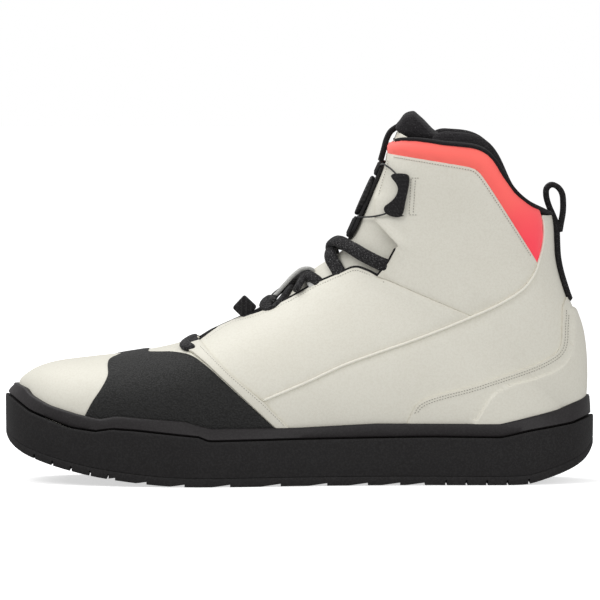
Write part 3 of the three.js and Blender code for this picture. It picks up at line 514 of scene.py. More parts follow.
# ------------------------------------------------------------------ materials
class Signal:
    """A value or colour in a node tree. Sums, differences and products of values add Math nodes."""

    def __init__(self, tree, socket=None):
        self.tree, self.socket = tree, socket

    def node(self, kind, settings=None, values=None, out=0):
        """Adds a node: settings first, then the values or links of its sockets by name or number."""
        made = self.tree.nodes.new(kind)
        for key, value in (settings or {}).items():
            if key == "stops":
                ramp = made.color_ramp
                while len(ramp.elements) < len(value):
                    ramp.elements.new(0.5)
                for element, (position, colour) in zip(ramp.elements, value):
                    element.position = position
                    element.color = colour if len(colour) == 4 else (*colour, 1)
            else:
                setattr(made, key, value)
        for key, value in (values or {}).items():
            if isinstance(value, Signal):
                self.tree.links.new(value.socket, made.inputs[key])
            else:
                made.inputs[key].default_value = value
        return Signal(self.tree, made.outputs[out])

    def maths(self, operation, a, b=0.0):
        return self.node("ShaderNodeMath", {"operation": operation}, {0: a, 1: b})

    def __add__(self, other):
        return self.maths("ADD", self, other)

    def __sub__(self, other):
        return self.maths("SUBTRACT", self, other)

    def __mul__(self, other):
        return self.maths("MULTIPLY", self, other)

    def __rsub__(self, other):
        return self.maths("SUBTRACT", other, self)

    __radd__ = __add__
    __rmul__ = __mul__

    def sine(self):
        return self.maths("SINE", self)

    def clamp(self):
        return self.node("ShaderNodeClamp", {}, {0: self, 1: 0.0, 2: 1.0})

    def smooth_step(self, low, high):
        return self.node("ShaderNodeMapRange", {"interpolation_type": "SMOOTHSTEP"},
                         {0: self, 1: low, 2: high})

    def blend(self, a, b):
        """Colour a where this is 0 and b where it is 1."""
        values = {0: self}
        for key, colour in ((6, a), (7, b)):
            values[key] = colour if isinstance(colour, Signal) else (*colour, 1)
        return self.node("ShaderNodeMix", {"data_type": "RGBA"}, values, out=2)


class Finish:
    """One material being built."""

    def __init__(self, name, roughness=0.6, **constants):
        self.material = bpy.data.materials.new(name)
        self.material.use_nodes = True
        self.tree = self.material.node_tree
        self.shader = self.tree.nodes["Principled BSDF"]
        self.start = Signal(self.tree)
        self.shader.inputs["Roughness"].default_value = roughness
        for key, value in constants.items():
            self.shader.inputs[key.replace("_", " ")].default_value = value

    def place(self, scale=(1, 1, 1), turn=(0, 0, 0)):
        """Object coordinates in millimetres times scale."""
        where = self.start.node("ShaderNodeTexCoord", out=3)
        size = tuple(s / MM for s in scale)
        return self.start.node("ShaderNodeMapping", {}, {"Vector": where, "Scale": size, "Rotation": turn})

    def flat(self, scale=(1, 1, 1)):
        """The piece's own flat coordinates in millimetres times scale."""
        where = self.start.node("ShaderNodeUVMap", {"uv_map": "flat"})
        size = tuple(s * 100 for s in scale)
        return self.start.node("ShaderNodeMapping", {}, {"Vector": where, "Scale": size})

    def noise(self, where, scale=1.0, detail=2.0, rough=0.5, distortion=0.0):
        return self.start.node("ShaderNodeTexNoise", {}, {
            "Vector": where, "Scale": scale, "Detail": detail, "Roughness": rough, "Distortion": distortion})

    def cells(self, where, scale=1.0, feature="F1", randomness=1.0):
        return self.start.node("ShaderNodeTexVoronoi", {"feature": feature}, {
            "Vector": where, "Scale": scale, "Randomness": randomness})

    def attribute(self, name):
        return self.start.node("ShaderNodeAttribute", {"attribute_name": name}, out=2)

    def split(self, where):
        node = self.tree.nodes.new("ShaderNodeSeparateXYZ")
        self.tree.links.new(where.socket, node.inputs[0])
        return [Signal(self.tree, node.outputs[k]) for k in range(3)]

    def wire(self, colour=None, roughness=None, bump=None, strength=0.5, distance=0.2):
        links = self.tree.links
        if isinstance(colour, Signal):
            links.new(colour.socket, self.shader.inputs["Base Color"])
        elif colour is not None:
            self.shader.inputs["Base Color"].default_value = (*colour, 1)
        if roughness is not None:
            links.new(roughness.socket, self.shader.inputs["Roughness"])
        if bump is not None:
            made = self.start.node("ShaderNodeBump", {}, {
                "Strength": strength, "Distance": distance * MM, "Height": bump})
            links.new(made.socket, self.shader.inputs["Normal"])
        return self.material


def leather_finish(name, colour, shade, grain=1.0):
    """Off-white leather: pebbled grain, broad tonal drift, and painted shade that darkens it along the cut
    edges where panels meet.
    """
    f = Finish(name, 0.55, Specular_IOR_Level=0.42)
    where = f.place()
    pebble = f.cells(where, 1.15 * grain, "DISTANCE_TO_EDGE").smooth_step(0.0, 0.28)
    fine = f.noise(where, 2.6 * grain, 3, 0.6)
    broad = f.noise(where, 0.03, 3, 0.55)
    speck = f.noise(where, 0.9, 3, 0.75).smooth_step(0.38, 0.66)
    # Near each cut edge the tone goes towards the shade colour: painted shade where panels meet and overlap.
    edge = 1 - f.attribute("edge").smooth_step(0.0, 1.6)
    tone = (broad.smooth_step(0.2, 0.8) * 0.2 + speck * 0.42 + edge * 0.35).clamp()
    base = tone.blend(colour, shade)
    rough = 0.5 + fine * 0.12 + edge * 0.08
    return f.wire(base, rough, pebble * 0.35 + fine * 0.5, 0.32, 0.12)


def rubber_finish(name, colour, rough=0.72, grain=1.0, strength=0.35, dust=0.009):
    """Matte black rubber with a fine moulded grain and a little pale dust in random specks."""
    f = Finish(name, rough, Specular_IOR_Level=0.32)
    where = f.place()
    fine = f.noise(where, 3.2 * grain, 3, 0.65)
    broad = f.noise(where, 0.12, 2, 0.5)
    pale = tuple(c + dust for c in colour)
    speck = f.noise(where, 1.1 * grain, 2, 0.8).smooth_step(0.4, 0.66)
    base = (broad * 0.3 + speck * 0.7).smooth_step(0.1, 0.9).blend(colour, pale)
    return f.wire(base, rough - 0.08 + fine * 0.16, fine, strength, 0.15)


def pebble_finish(name, colour, pale):
    """Rubberised leather with round pebbles."""
    f = Finish(name, 0.62, Specular_IOR_Level=0.24)
    where = f.place()
    bead = f.cells(where, 1.35, "SMOOTH_F1")
    crown = 1 - bead.smooth_step(0.05, 0.75)
    fine = f.noise(where, 4, 2, 0.5)
    base = (crown * 0.8 + fine * 0.3).clamp().blend(colour, pale)
    return f.wire(base, 0.7 - crown * 0.16, crown + fine * 0.15, 0.6, 0.3)


def coral_finish(name, top, foot, low_z, high_z):
    """Coral collar cloth that goes from orange at the rim to pink-red below, with a fine knit and a painted
    glow: it emits its own colour to look brighter.
    """
    # A low emission of the cloth's own colour: a painted glow that makes the collar brighter than the lamps
    # light it.
    f = Finish(name, 0.78, Sheen_Weight=0.25, Sheen_Roughness=0.5, Emission_Strength=0.19)
    where = f.place()
    rise = f.split(where)[2].smooth_step(low_z, high_z)
    knit = f.start.node("ShaderNodeTexWave", {"bands_direction": "Z"}, {
        "Vector": where, "Scale": 0.36, "Distortion": 1.2, "Detail": 1.0, "Detail Scale": 2.0}, out=1)
    fine = f.noise(where, 2.2, 2, 0.6)
    drift = f.noise(where, 0.05, 2, 0.5)
    mix = (rise * 0.85 + (drift - 0.5) * 0.5).clamp()
    tone = mix.blend(foot, top)
    f.tree.links.new(tone.socket, f.shader.inputs["Emission Color"])
    return f.wire(tone, 0.72 + fine * 0.14, knit * 0.4 + fine * 0.6, 0.3, 0.18)


def mesh_finish(name, colour, fleck, scale=1.0):
    """Black spacer mesh: round holes in rows and a few pale flecks of yarn."""
    f = Finish(name, 0.85, Sheen_Weight=0.06, Sheen_Roughness=0.6, Specular_IOR_Level=0.15)
    where = f.place()
    holes = f.cells(where, 0.72 * scale, "F1", 0.25).smooth_step(0.12, 0.5)
    yarn = f.noise(where, 3.5, 2, 0.7)
    spots = yarn.smooth_step(0.6, 0.72) * holes
    tone = (spots * 0.8).clamp()
    return f.wire(tone.blend(colour, fleck), 0.8 + yarn * 0.15, holes + yarn * 0.3, 0.7, 0.35)


def woven_finish(name, colour, pale, pitch=1.1, fleck=0.5):
    """Webbing and laces: diagonal braid that follows the piece, with pale flecks."""
    f = Finish(name, 0.82, Sheen_Weight=0.05, Sheen_Roughness=0.5, Specular_IOR_Level=0.2)
    u, v, _ = f.split(f.flat())
    weave = (u * (math.pi / pitch)).sine() * (v * (math.pi / pitch)).sine()
    where = f.place()
    fine = f.noise(where, 2.4, 2, 0.6)
    spots = f.noise(where, 2.3, 1, 0.5).smooth_step(0.62, 0.72) * fleck
    base = (spots + weave.smooth_step(0.2, 1.4) * 0.12).clamp().blend(colour, pale)
    return f.wire(base, 0.76 + fine * 0.14, weave * 0.5 + fine * 0.6, 0.6, 0.3)


def plastic_finish(name, colour, rough=0.42, grain=0.25, metallic=0.0):
    """Moulded nylon, coated wire or metal with faint wear."""
    f = Finish(name, rough, Metallic=metallic, Specular_IOR_Level=0.35)
    where = f.place()
    fine = f.noise(where, 4.5, 2, 0.6)
    wear = f.noise(where, 0.35, 2, 0.6).smooth_step(0.55, 0.75)
    base = wear.blend(colour, tuple(c * 1.25 + 0.008 for c in colour))
    return f.wire(base, rough - 0.06 + fine * 0.14 + wear * 0.05, fine, grain, 0.08)


FINISHES = {}


def build_finishes():
    """Makes every material, and gives the kept frame pieces theirs."""
    colours = bpy.context.scene.boot_colours
    sizes = bpy.context.scene.boot_sizes
    off, shade = tuple(colours.leather), tuple(colours.leather_shade)
    ink = tuple(colours.black)
    # A lighter tone for the raised welt cords: a painted highlight along them, cut from the same leather as
    # the panels.
    welt_highlight_tone = tuple(min(0.95, c * 1.17) for c in off)
    FINISHES.update({
        "leather": leather_finish("off_white_leather", off, shade, sizes.grain),
        "trim": leather_finish("trim_leather", tuple(c * 0.97 for c in off), shade, sizes.grain * 1.2),
        "welt": leather_finish("welt_leather_painted_highlight", welt_highlight_tone, off, sizes.grain * 1.2),
        # The thread is much darker than the leather: painted shade of the stitch holes laid over the thread's
        # own colour.
        "thread": woven_finish("thread", tuple(c * 0.5 for c in shade), shade, 0.5, 0.1),
        "rubber": rubber_finish("sole_rubber", tuple(colours.rubber), 0.7, 1.0, 0.6),
        # The band's rubber is 2.3 times lighter than the sole's: painted sheen standing in for the light its
        # smoother surface reflects.
        "rand": rubber_finish("rand_rubber_painted_sheen", tuple(c * 2.3 for c in colours.rubber), 0.5),
        "pebble": pebble_finish("toe_rubber", tuple(colours.patch), tuple(c + 0.014 for c in colours.patch)),
        "coral": coral_finish("coral_cloth", tuple(colours.coral_top), tuple(colours.coral_foot), 114, 162),
        "mesh": mesh_finish("black_mesh", tuple(c * 1.4 for c in ink), (0.2, 0.19, 0.2)),
        "binding": mesh_finish("knit_binding", ink, (0.12, 0.11, 0.12), 1.6),
        "webbing": woven_finish("black_webbing", ink, (0.16, 0.16, 0.16), 1.2, 0.35),
        "grey_webbing": woven_finish("grey_webbing", (0.52, 0.52, 0.5), (0.8, 0.8, 0.78), 1.0, 0.5),
        "lace": woven_finish("flecked_lace", ink, (0.36, 0.36, 0.36), 1.3, 0.5),
        "plastic": plastic_finish("black_nylon", tuple(c * 0.9 for c in ink), 0.46),
        "cap": plastic_finish("dial_cap", tuple(c * 1.4 for c in ink), 0.35),
        "cable": plastic_finish("coated_cable", (0.03, 0.03, 0.032), 0.3, 0.1),
        "foam": rubber_finish("midsole_foam", (0.2, 0.2, 0.21), 0.9, 0.8, 0.5),
        "steel": plastic_finish("spring_steel", (0.55, 0.55, 0.57), 0.35, 0.15, 1.0),
        "board": leather_finish("lasting_board", (0.42, 0.34, 0.24), (0.3, 0.24, 0.17), 0.8),
        "stiffener": plastic_finish("stiffener_sheet", (0.5, 0.5, 0.47), 0.6),
    })
    for node, key in {"shank": "steel", "insole_board": "board", "footbed": "mesh", "midsole_foam": "foam",
                      "toe_puff": "stiffener", "heel_counter": "stiffener", "lining": "mesh",
                      "dial_spool": "plastic", "dial_carrier": "cap"}.items():
        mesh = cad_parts[node].data
        mesh.materials.clear()
        mesh.materials.append(FINISHES[key])


# ------------------------------------------------------------------ sole
def sole_ring(count=300):
    """Even points round the edge of the sole with their outward directions."""
    p = spline(SOLE_PLAN, 0.8, closed=True)[:-1]
    p = even(np.vstack([p, p[:1]]), 1)
    p = np.stack([np.interp(np.linspace(0, 1, count, endpoint=False), np.linspace(0, 1, len(p)), p[:, k])
                  for k in range(2)], 1)
    d = np.roll(p, -1, axis=0) - np.roll(p, 1, axis=0)
    d /= np.linalg.norm(d, axis=1)[:, None]
    return p, np.stack([d[:, 1], -d[:, 0]], 1)


def ring_loft(name, rings, material):
    """A closed ring of material from loops of points that go round its section."""
    obj = new_object(name, np.vstack(rings), tube_faces(len(rings), len(rings[0]), True), material)
    fix_normals(obj)
    make_smooth(obj, 45)
    return obj


def form_tree():
    """The form as a fine mesh that rays can be sent to."""
    rows, across = LAST * 6, 60
    r, v = np.meshgrid(np.linspace(0, LAST, rows + 1), np.linspace(-1, 1, across + 1), indexing="ij")
    p = form_points(r.ravel(), np.abs(v.ravel()), np.where(v.ravel() > 0, 1, -1))
    wide = across + 1
    faces = [(i * wide + j, i * wide + j + 1, (i + 1) * wide + j + 1, (i + 1) * wide + j)
             for i in range(rows) for j in range(across)]
    return BVHTree.FromPolygons(p.tolist(), faces)


def build_sole():
    """Rubber band, sidewall and outsole, lofted round the sole."""
    plan, out = sole_ring()
    tree = form_tree()
    x = plan[:, 0]
    groove, top, under = height(GROOVE, x), height(RAND_TOP, x), height(UNDER_LINE, x)

    def ring(inset, z):
        xy = plan - out * np.reshape(inset, (-1, 1))
        return np.column_stack([xy, np.broadcast_to(z, x.shape)])

    def to_upper(z):
        """How far in from the sole's edge the upper stands at height z."""
        gaps = []
        for (px, py), (ox, oy), h in zip(plan, out, np.broadcast_to(z, x.shape)):
            hit = tree.ray_cast(Vector((px + ox * 5, py + oy * 5, h)), Vector((-ox, -oy, 0)), 60)
            gaps.append(hit[3] - 5 if hit[0] is not None else 8)
        gaps = np.array(gaps)
        near = np.stack([np.roll(gaps, k) for k in range(-4, 5)])
        return near.mean(0)

    gap_top, gap_low = to_upper(top - 1.5), to_upper(groove + 2)
    face = np.maximum(gap_top - 2.6 - 1.8 * np.clip((x - 55) / 15, 0, 1), 0.7)
    rand = [ring(3.0, groove - 0.3), ring(1.7, groove + 0.75), ring(1.35, groove + 1.1),
            ring(1.2 + (face - 1.2) * 0.35, groove + (top - groove) * 0.5), ring(face - 0.25, top - 1.1),
            ring(face, top - 0.45), ring(face + 0.35, top - 0.08), ring(gap_top - 1.1, top),
            ring(gap_top + 0.3, top - 0.35), ring(gap_low + 0.8, groove + 1),
            ring(gap_low + 0.8, groove - 0.3)]
    hand_over(ring_loft("rand", rand, FINISHES["rand"]), "boot", "sole_rubber", ["rand"])
    step = under + 4.6
    wall = [ring(3.2, groove - 0.75), ring(1.2, groove - 0.6), ring(0.85, groove - 0.1), ring(0.35, groove),
            ring(0.05, groove - 0.35), ring(-0.05, groove - 1.4), ring(0, (groove + step) / 2),
            ring(0.05, step + 0.5), ring(0.2, step + 0.06), ring(1.4, step), ring(6, step),
            ring(6, groove - 0.75)]
    hand_over(ring_loft("sidewall", wall, FINISHES["rubber"]), "boot", "sole_rubber", ["sidewall"])
    build_tread(ring, step, under)


def build_tread(ring, step, under):
    """Outsole plate with its lugs, cut by sipes and channels."""
    loops = [ring(5.5, step - 0.1), ring(1.2, step - 0.1), ring(0.2, step - 0.12), ring(0.06, step - 0.5),
             ring(0.1, under + 1.4), ring(0.4, under + 0.45), ring(1.1, under)]
    count = len(loops[0])
    points = np.vstack(loops)
    faces = tube_faces(len(loops), count) + strip_cap(0, count) + strip_cap((len(loops) - 1) * count, count)
    obj = new_object("outsole", points, faces, FINISHES["rubber"])
    fix_normals(obj)
    cutters = []

    def cutter(low, high):
        bpy.ops.object.select_all(action="DESELECT")
        bpy.ops.mesh.primitive_cube_add(size=1)
        c = bpy.context.object
        low, high = np.array(low, float) + CENTRE, np.array(high, float) + CENTRE
        c.data.transform(Matrix.LocRotScale(Vector((low + high) / 2 * MM), None, Vector((high - low) * MM)))
        cutters.append(c)

    for at in LUG_EDGES:
        base = height(UNDER_LINE, at)
        cutter((at - 11, -70, -3), (at, 70, base + 1.35))
        slope = cutters[-1].data.vertices
        for v in slope:
            if v.co.z > 0 and v.co.x < (at - 5) * MM:
                v.co.z = (base - 0.2) * MM
    for at in SIPES:
        base = height(UNDER_LINE, at)
        for low, high in ((-70, -22), (22, 70)):
            cutter((at - 0.45, low, base - 8), (at + 0.45, high, base + 2.6))
    for at in (-15, 12):
        cutter((-94, at - 1.1, -6), (118, at + 1.1, 2.2))
    for at in np.arange(-84, 112, 9.7):
        cutter((at - 0.8, -34, -6), (at + 0.8, 30, 1.8))
    pick(cutters[0])
    for c in cutters:
        c.select_set(True)
    bpy.ops.object.join()
    knife = cutters[0]
    pick(obj)
    m = obj.modifiers.new("Grooves", "BOOLEAN")
    m.operation, m.object, m.solver = "DIFFERENCE", knife, "EXACT"
    m.use_self = True
    bpy.ops.object.modifier_apply(modifier=m.name)
    bpy.data.objects.remove(knife)
    make_smooth(obj, 30)
    hand_over(obj, "boot", "sole_rubber", ["outsole"])


def strip_cap(start, count):
    """Faces that close a loop that is mirrored end to end, strip by strip."""
    faces = []
    i, j = 0, count - 1
    while i + 1 < j:
        if i + 2 < j:
            faces.append((start + i, start + i + 1, start + j - 1, start + j))
        else:
            faces.append((start + i, start + i + 1, start + j))
        i, j = i + 1, j - 1
    return faces


# ------------------------------------------------------------------ upper
def crowned(rise, reach):
    """Relief of a panel that swells away from its sewn edge."""
    return lambda p, edge: rise * np.sqrt(np.clip(1 - (1 - np.clip(edge / reach, 0, 1)) ** 2, 0, 1))


def both_sides(front, rear):
    """Outline that runs up the outer side, over the ridge, and down the inner side."""
    parts = []
    for side in (LATERAL, MEDIAL):
        parts.append((side_outline(front, side), side_outline(rear, side)))
    (fl, rl), (fm, rm) = parts
    return np.vstack([fl[::-1], fm, rm[::-1], rl])


def sole_line(r0, r1, side, count=60):
    """Outline along the sole edge between two rows."""
    return np.stack([np.linspace(r0, r1, count), np.full(count, float(side))], 1)


def build_vamp():
    """Vamp, toe patch and the stitched strips behind it."""
    rear = corners(QUARTER_FRONT[::-1])
    lateral, medial = side_outline(rear, LATERAL), side_outline(rear, MEDIAL)
    outline = np.vstack([[[0, -1]], sole_line(0.05, lateral[0, 0], LATERAL), lateral, medial[::-1],
                         sole_line(medial[0, 0], 0.05, MEDIAL), [[0, 1]]])
    vamp = panel("vamp", outline, FINISHES["leather"], 0, 1.6, 2.4)
    hand_over(vamp, "boot", "leather", ["vamp"])
    shape = both_sides(spline(PATCH_FRONT), spline(PATCH_REAR))
    patch = panel("toe_patch", shape, FINISHES["pebble"], 0.5, 0.5, 2.0,
                  relief=lambda p, edge: 0.25 * np.clip(edge / 3, 0, 1))
    hand_over(patch, "boot", "toe_rubber", ["toe_patch"])
    for name, side in SIDES.items():
        strip = np.vstack([corners([(-60, 68.6), (-53.4, 66), (-46.6, 61), (-32.4, 48.4), (-9.4, 27.2)]),
                           corners([(-3.4, 27.2), (-17.8, 42.2), (-34.9, 55.8), (-50, 71.6)])])
        piece = panel(f"trim_strip_{name}", side_outline(strip, side), FINISHES["trim"], 1.5, 1.3, 1.4)
        hand_over(piece, "boot", "thread_leather", [f"trim_strip_{name}"])


def build_quarters():
    """Quarters, heel panels and the raised welts between them."""
    for name, side in SIDES.items():
        outline = np.vstack([spline(WELT), spline(QUARTER_TOP)[1:], spline(EYESTAY)[1:],
                             corners(QUARTER_FRONT[:3])[1:]])
        quarter = panel(f"quarter_{name}", side_outline(outline, side), FINISHES["leather"], 0.35, 1.8, 1.9,
                        relief=crowned(0.3, 3))
        hand_over(quarter, "boot", "leather", [f"quarter_{name}"])
        low = np.vstack([spline(WELT), spline(ANKLE_BACK)[::-1][1:], spline(COLLAR_BACK)[1:]])
        side_part = side_outline(low, side)
        heel_r, _ = place([(129.4, 137)])
        foot = side_outline(corners([(-4, 25), (-18.4, 42.8)]), side)
        seam = 0.9975
        outline = np.vstack([side_part, [[heel_r[0], side * seam]],
                             np.stack([np.linspace(heel_r[0], 13, 60), np.full(60, side * seam)], 1),
                             sole_line(12.9, foot[0, 0], side * 0.985), foot])
        heel = panel(f"heel_panel_{name}", outline, FINISHES["leather"], 0.1, 1.7, 2.1,
                     relief=crowned(0.25, 3))
        hand_over(heel, "boot", "leather", [f"heel_panel_{name}"])
        welt = spline(WELT + ANKLE_BACK[3:0:-1] + WELT_REAR, 1.5)
        p, n = on_form(welt, side, 0.45)
        cord = sweep(f"welt_{name}", p, oval(0.7, 0.7, 10), FINISHES["welt"], n, taper=2.5)
        hand_over(cord, "boot", "thread_leather", [f"welt_{name}"])


def build_ankles():
    """Ankle panels, folded up at the notch."""
    for name, side in SIDES.items():
        outline = np.vstack([spline(COLLAR_EDGE)[::-1], corners(SHIN_EDGE[::-1])[1:],
                             spline(QUARTER_TOP)[::-1][1:], spline(ANKLE_BACK)[::-1][1:]])
        front = corners(SHIN_EDGE[:4], 1.0)

        def relief(p, edge):
            fold = np.clip(1 - reach_to(p[:, [0, 2]], front) / 6, 0, 1)
            return 0.55 * np.sqrt(np.clip(edge / 9, 0, 1)) + 1.5 * fold * fold * (3 - 2 * fold)

        ankle = panel(f"ankle_panel_{name}", side_outline(outline, side), FINISHES["leather"], 0.05, 1.9, 2.0,
                      relief=relief)
        hand_over(ankle, "boot", "leather", [f"ankle_panel_{name}"])


def build_heel_overlay():
    """Moulded overlay that wraps the heel, with a raised cap ridge."""
    top = spline(HEEL_OVERLAY_TOP, 1.2)
    rand_line = np.array([(x, height(RAND_TOP, x) - 2.5) for x in np.arange(141, 54, -2.0)])
    parts = {}
    for side in (LATERAL, MEDIAL):
        r, t = place(top)
        rb, tb = place(rand_line)
        parts[side] = (np.stack([r, (1 - t) * side], 1), np.stack([rb, (1 - tb) * side], 1))
    (tl, bl), (tm, bm) = parts[LATERAL], parts[MEDIAL]
    outline = np.vstack([tl, tm[::-1], bm[::-1], bl])
    ridge = spline(HEEL_RIDGE, 1.0)

    cap = np.vstack([ridge, [(160, 87), (160, 20), (84, 20)]])

    def relief(p, edge):
        flat_points = p[:, [0, 2]]
        depth = reach_to(flat_points, ridge) * np.where(inside(flat_points, cap), 1, -1)
        step = np.clip((depth + 0.5) / 1.0, 0, 1)
        groove = 0.3 * np.exp(-((depth + 1.1) / 0.6) ** 2)
        return 0.3 * np.sqrt(np.clip(edge / 2, 0, 1)) + 1.5 * step * step * (3 - 2 * step) - groove

    creases = []
    for side in (LATERAL, MEDIAL):
        for out in (-1.4, -0.5, 0.5, 1.4):
            r, t = place(shifted(ridge, out))
            creases.append(np.stack([r, (1 - t) * side], 1))

    overlay = panel("heel_overlay", outline, FINISHES["leather"], 1.1, 1.8, 1.0, heel=True, relief=relief,
                    creases=creases)
    hand_over(overlay, "boot", "leather", ["heel_overlay"])


def round_heel(line, sink, bend, passes, lift=None):
    """Route and normals along the rim: one side, round the heel, and back along the other side.

    bend is how many points go round the heel, how far out they stand, and how far they drop at the ends
    and in the middle. passes is how often the route is smoothed.
    """
    count, reach, drop, dip = bend
    routes, normals = [], []
    for side in (LATERAL, MEDIAL):
        p, n = on_form(line, side, -sink)
        if lift:
            p[:, 2] += lift(p[:, 0], side)
        routes.append(p)
        normals.append(n)
    turn = np.linspace(0, math.pi, count)[1:-1]
    start, end = routes[0][-1], routes[1][-1]
    back = np.stack([start[0] + np.sin(turn) * reach, start[1] + (end[1] - start[1]) * (1 - np.cos(turn)) / 2,
                     start[2] - drop - np.sin(turn) * dip], 1)
    back_normals = np.stack([np.sin(turn), -np.cos(turn), 0 * turn], 1)
    route = np.vstack([routes[0], back, routes[1][::-1]])
    normal = np.vstack([normals[0], back_normals, normals[1][::-1]])
    for _ in range(passes):
        for values in (route, normal):
            values[1:-1] = (values[:-2] + values[2:] + 2 * values[1:-1]) / 4
    return route, normal


def build_collar():
    """Padded collar panels and the knit binding round the rim."""
    for name, side in SIDES.items():
        rim = shifted(spline(RIM), -0.9)
        rim = rim[rim[:, 0] < 122.6]
        outline = np.vstack([spline(COLLAR_EDGE), spline(COLLAR_BACK)[1:-2], rim[::-1]])
        collar = panel(f"collar_{name}", side_outline(outline, side), FINISHES["coral"], -0.6, 6.5, 1.8,
                       relief=crowned(2.6, 8), bevel=0)
        hand_over(collar, "boot", "coral", [f"collar_{name}"])
    build_inner_collar()
    line = spline(shifted(spline(RIM), -0.6)[2:], 1.5)
    route, normals = round_heel(line[line[:, 0] < 128.6], 3.2, (9, 1.6, 0.3, 0), 6)
    binding = sweep("collar_binding", route, oval(1.35, 4.6, 14, 2.4), FINISHES["binding"], normals, taper=3)
    hand_over(binding, "boot", "binding", ["collar_binding"])


def build_inner_collar():
    """Padded mesh roll inside the rim, and the mesh lining below it."""
    rim = shifted(spline(RIM, 1.5), -1.6)
    r, t = place(rim[rim[:, 0] > 48])
    count, foot_row = 60, 14.6
    bottom = np.stack([np.full(count, foot_row), np.linspace(-1, 1, count) * abs(1 - t[0])], 1)
    outline = np.vstack([np.stack([r, (1 - t) * LATERAL], 1), np.stack([r, (1 - t) * MEDIAL], 1)[::-1],
                         bottom[::-1]])
    inner = panel("collar_lining", outline, FINISHES["mesh"], -6.4, 2.0, 2.6, heel=True, bevel=0)
    hand_over(inner, "boot", "mesh")

    def lift(x, side):
        """The roll stands proud of the rim at the ankle and sinks behind it towards the heel."""
        rise = np.clip((100 - x) / 14, 0, 1) * np.clip((x - 60) / 8, 0, 1)
        return rise * (2.9 if side == MEDIAL else 1.9) - 1.8 * np.clip((x - 92) / 10, 0, 1)

    line = even(shifted(spline(RIM), -3.4), 1.5)
    line = line[(line[:, 0] > 64) & (line[:, 0] < 121)]
    route, normals = round_heel(line, 6.4, (12, 3.2, 0, 2), 8, lift)
    roll = sweep("collar_roll", route, oval(7.0, 2.8, 20, 2.3), FINISHES["mesh"], normals, taper=9)
    hand_over(roll, "boot", "mesh")


# ------------------------------------------------------------------ tongue
TONGUE_BEND = (Vector(((20 + CENTRE[0]) * MM, 0.0015, 0.1195)),
               Vector(((27 + CENTRE[0]) * MM, 0.0015, 0.129)))


def build_tongue():
    """Tongue and its lining pad."""
    rows = np.linspace(6.35, 18.0, 120)
    half = np.interp(rows, [6.35, 8, 10, 12, 13, 14, 16, 17.9],
                     [0.22, 0.28, 0.35, 0.42, 0.39, 0.28, 0.235, 0.25])
    outline = np.vstack([np.stack([rows, -half], 1), np.stack([rows[::-1], half[::-1]], 1)])

    def relief(p, edge):
        along = (p[:, 0] - 8.5) / 13
        puff = 4.6 * np.exp(-along * along) * np.clip(1 - np.abs(p[:, 1]) / 15, 0, 1) ** 1.2
        x, y, z = p.T
        sunk = 2.3 * np.exp(-((x - 47) / 8) ** 2 - ((z - 119) / 10) ** 2) * np.clip(np.abs(y) / 20, 0, 1)
        return puff - sunk + 0.3 * np.sqrt(np.clip(edge / 8, 0, 1))

    tongue = panel("tongue", outline, FINISHES["leather"], -2.2, 1.6, 1.8, relief=relief)
    hand_over(tongue, "tongue", "leather", ["tongue_lower", "shin_flap"], bend=TONGUE_BEND)
    rows = np.linspace(13.3, 17.7, 60)
    half = np.interp(rows, [13.3, 14.2, 15.2], [0.1, 0.16, 0.2])
    outline = np.vstack([np.stack([rows, -half], 1), np.stack([rows[::-1], half[::-1]], 1)])
    pad = panel("tongue_pad", outline, FINISHES["mesh"], -4.3, 3.6, 2.4, bevel=0.8, relief=crowned(0.8, 6))
    hand_over(pad, "tongue", "mesh", ["tongue_pad"])


def block(name, low, high, cuts, material, bevel, levels=0):
    """A box primitive with its edges rounded and its faces divided."""
    bpy.ops.object.select_all(action="DESELECT")
    bpy.ops.mesh.primitive_cube_add(size=1)
    obj = bpy.context.object
    obj.name = obj.data.name = name
    low, high = np.array(low, float), np.array(high, float)
    obj.data.transform(Matrix.LocRotScale(Vector((low + high) / 2), None, Vector(high - low)))
    bpy.ops.object.mode_set(mode="EDIT")
    bpy.ops.mesh.select_all(action="SELECT")
    if cuts:
        bpy.ops.mesh.subdivide(number_cuts=cuts)
    bpy.ops.object.mode_set(mode="OBJECT")
    round_edges(obj, bevel)
    if levels:
        finish_with(obj, "SUBSURF", levels=levels, render_levels=levels)
    obj.data.materials.append(material)
    return obj


def to_place(obj, matrix=None):
    """Moves a piece modelled in millimetres about its own origin to its place in the boot."""
    full = Matrix.Translation(Vector(CENTRE * MM)) @ Matrix.Scale(MM, 4) @ (matrix or Matrix())
    obj.data.transform(full)
    obj.data.update()
    return obj


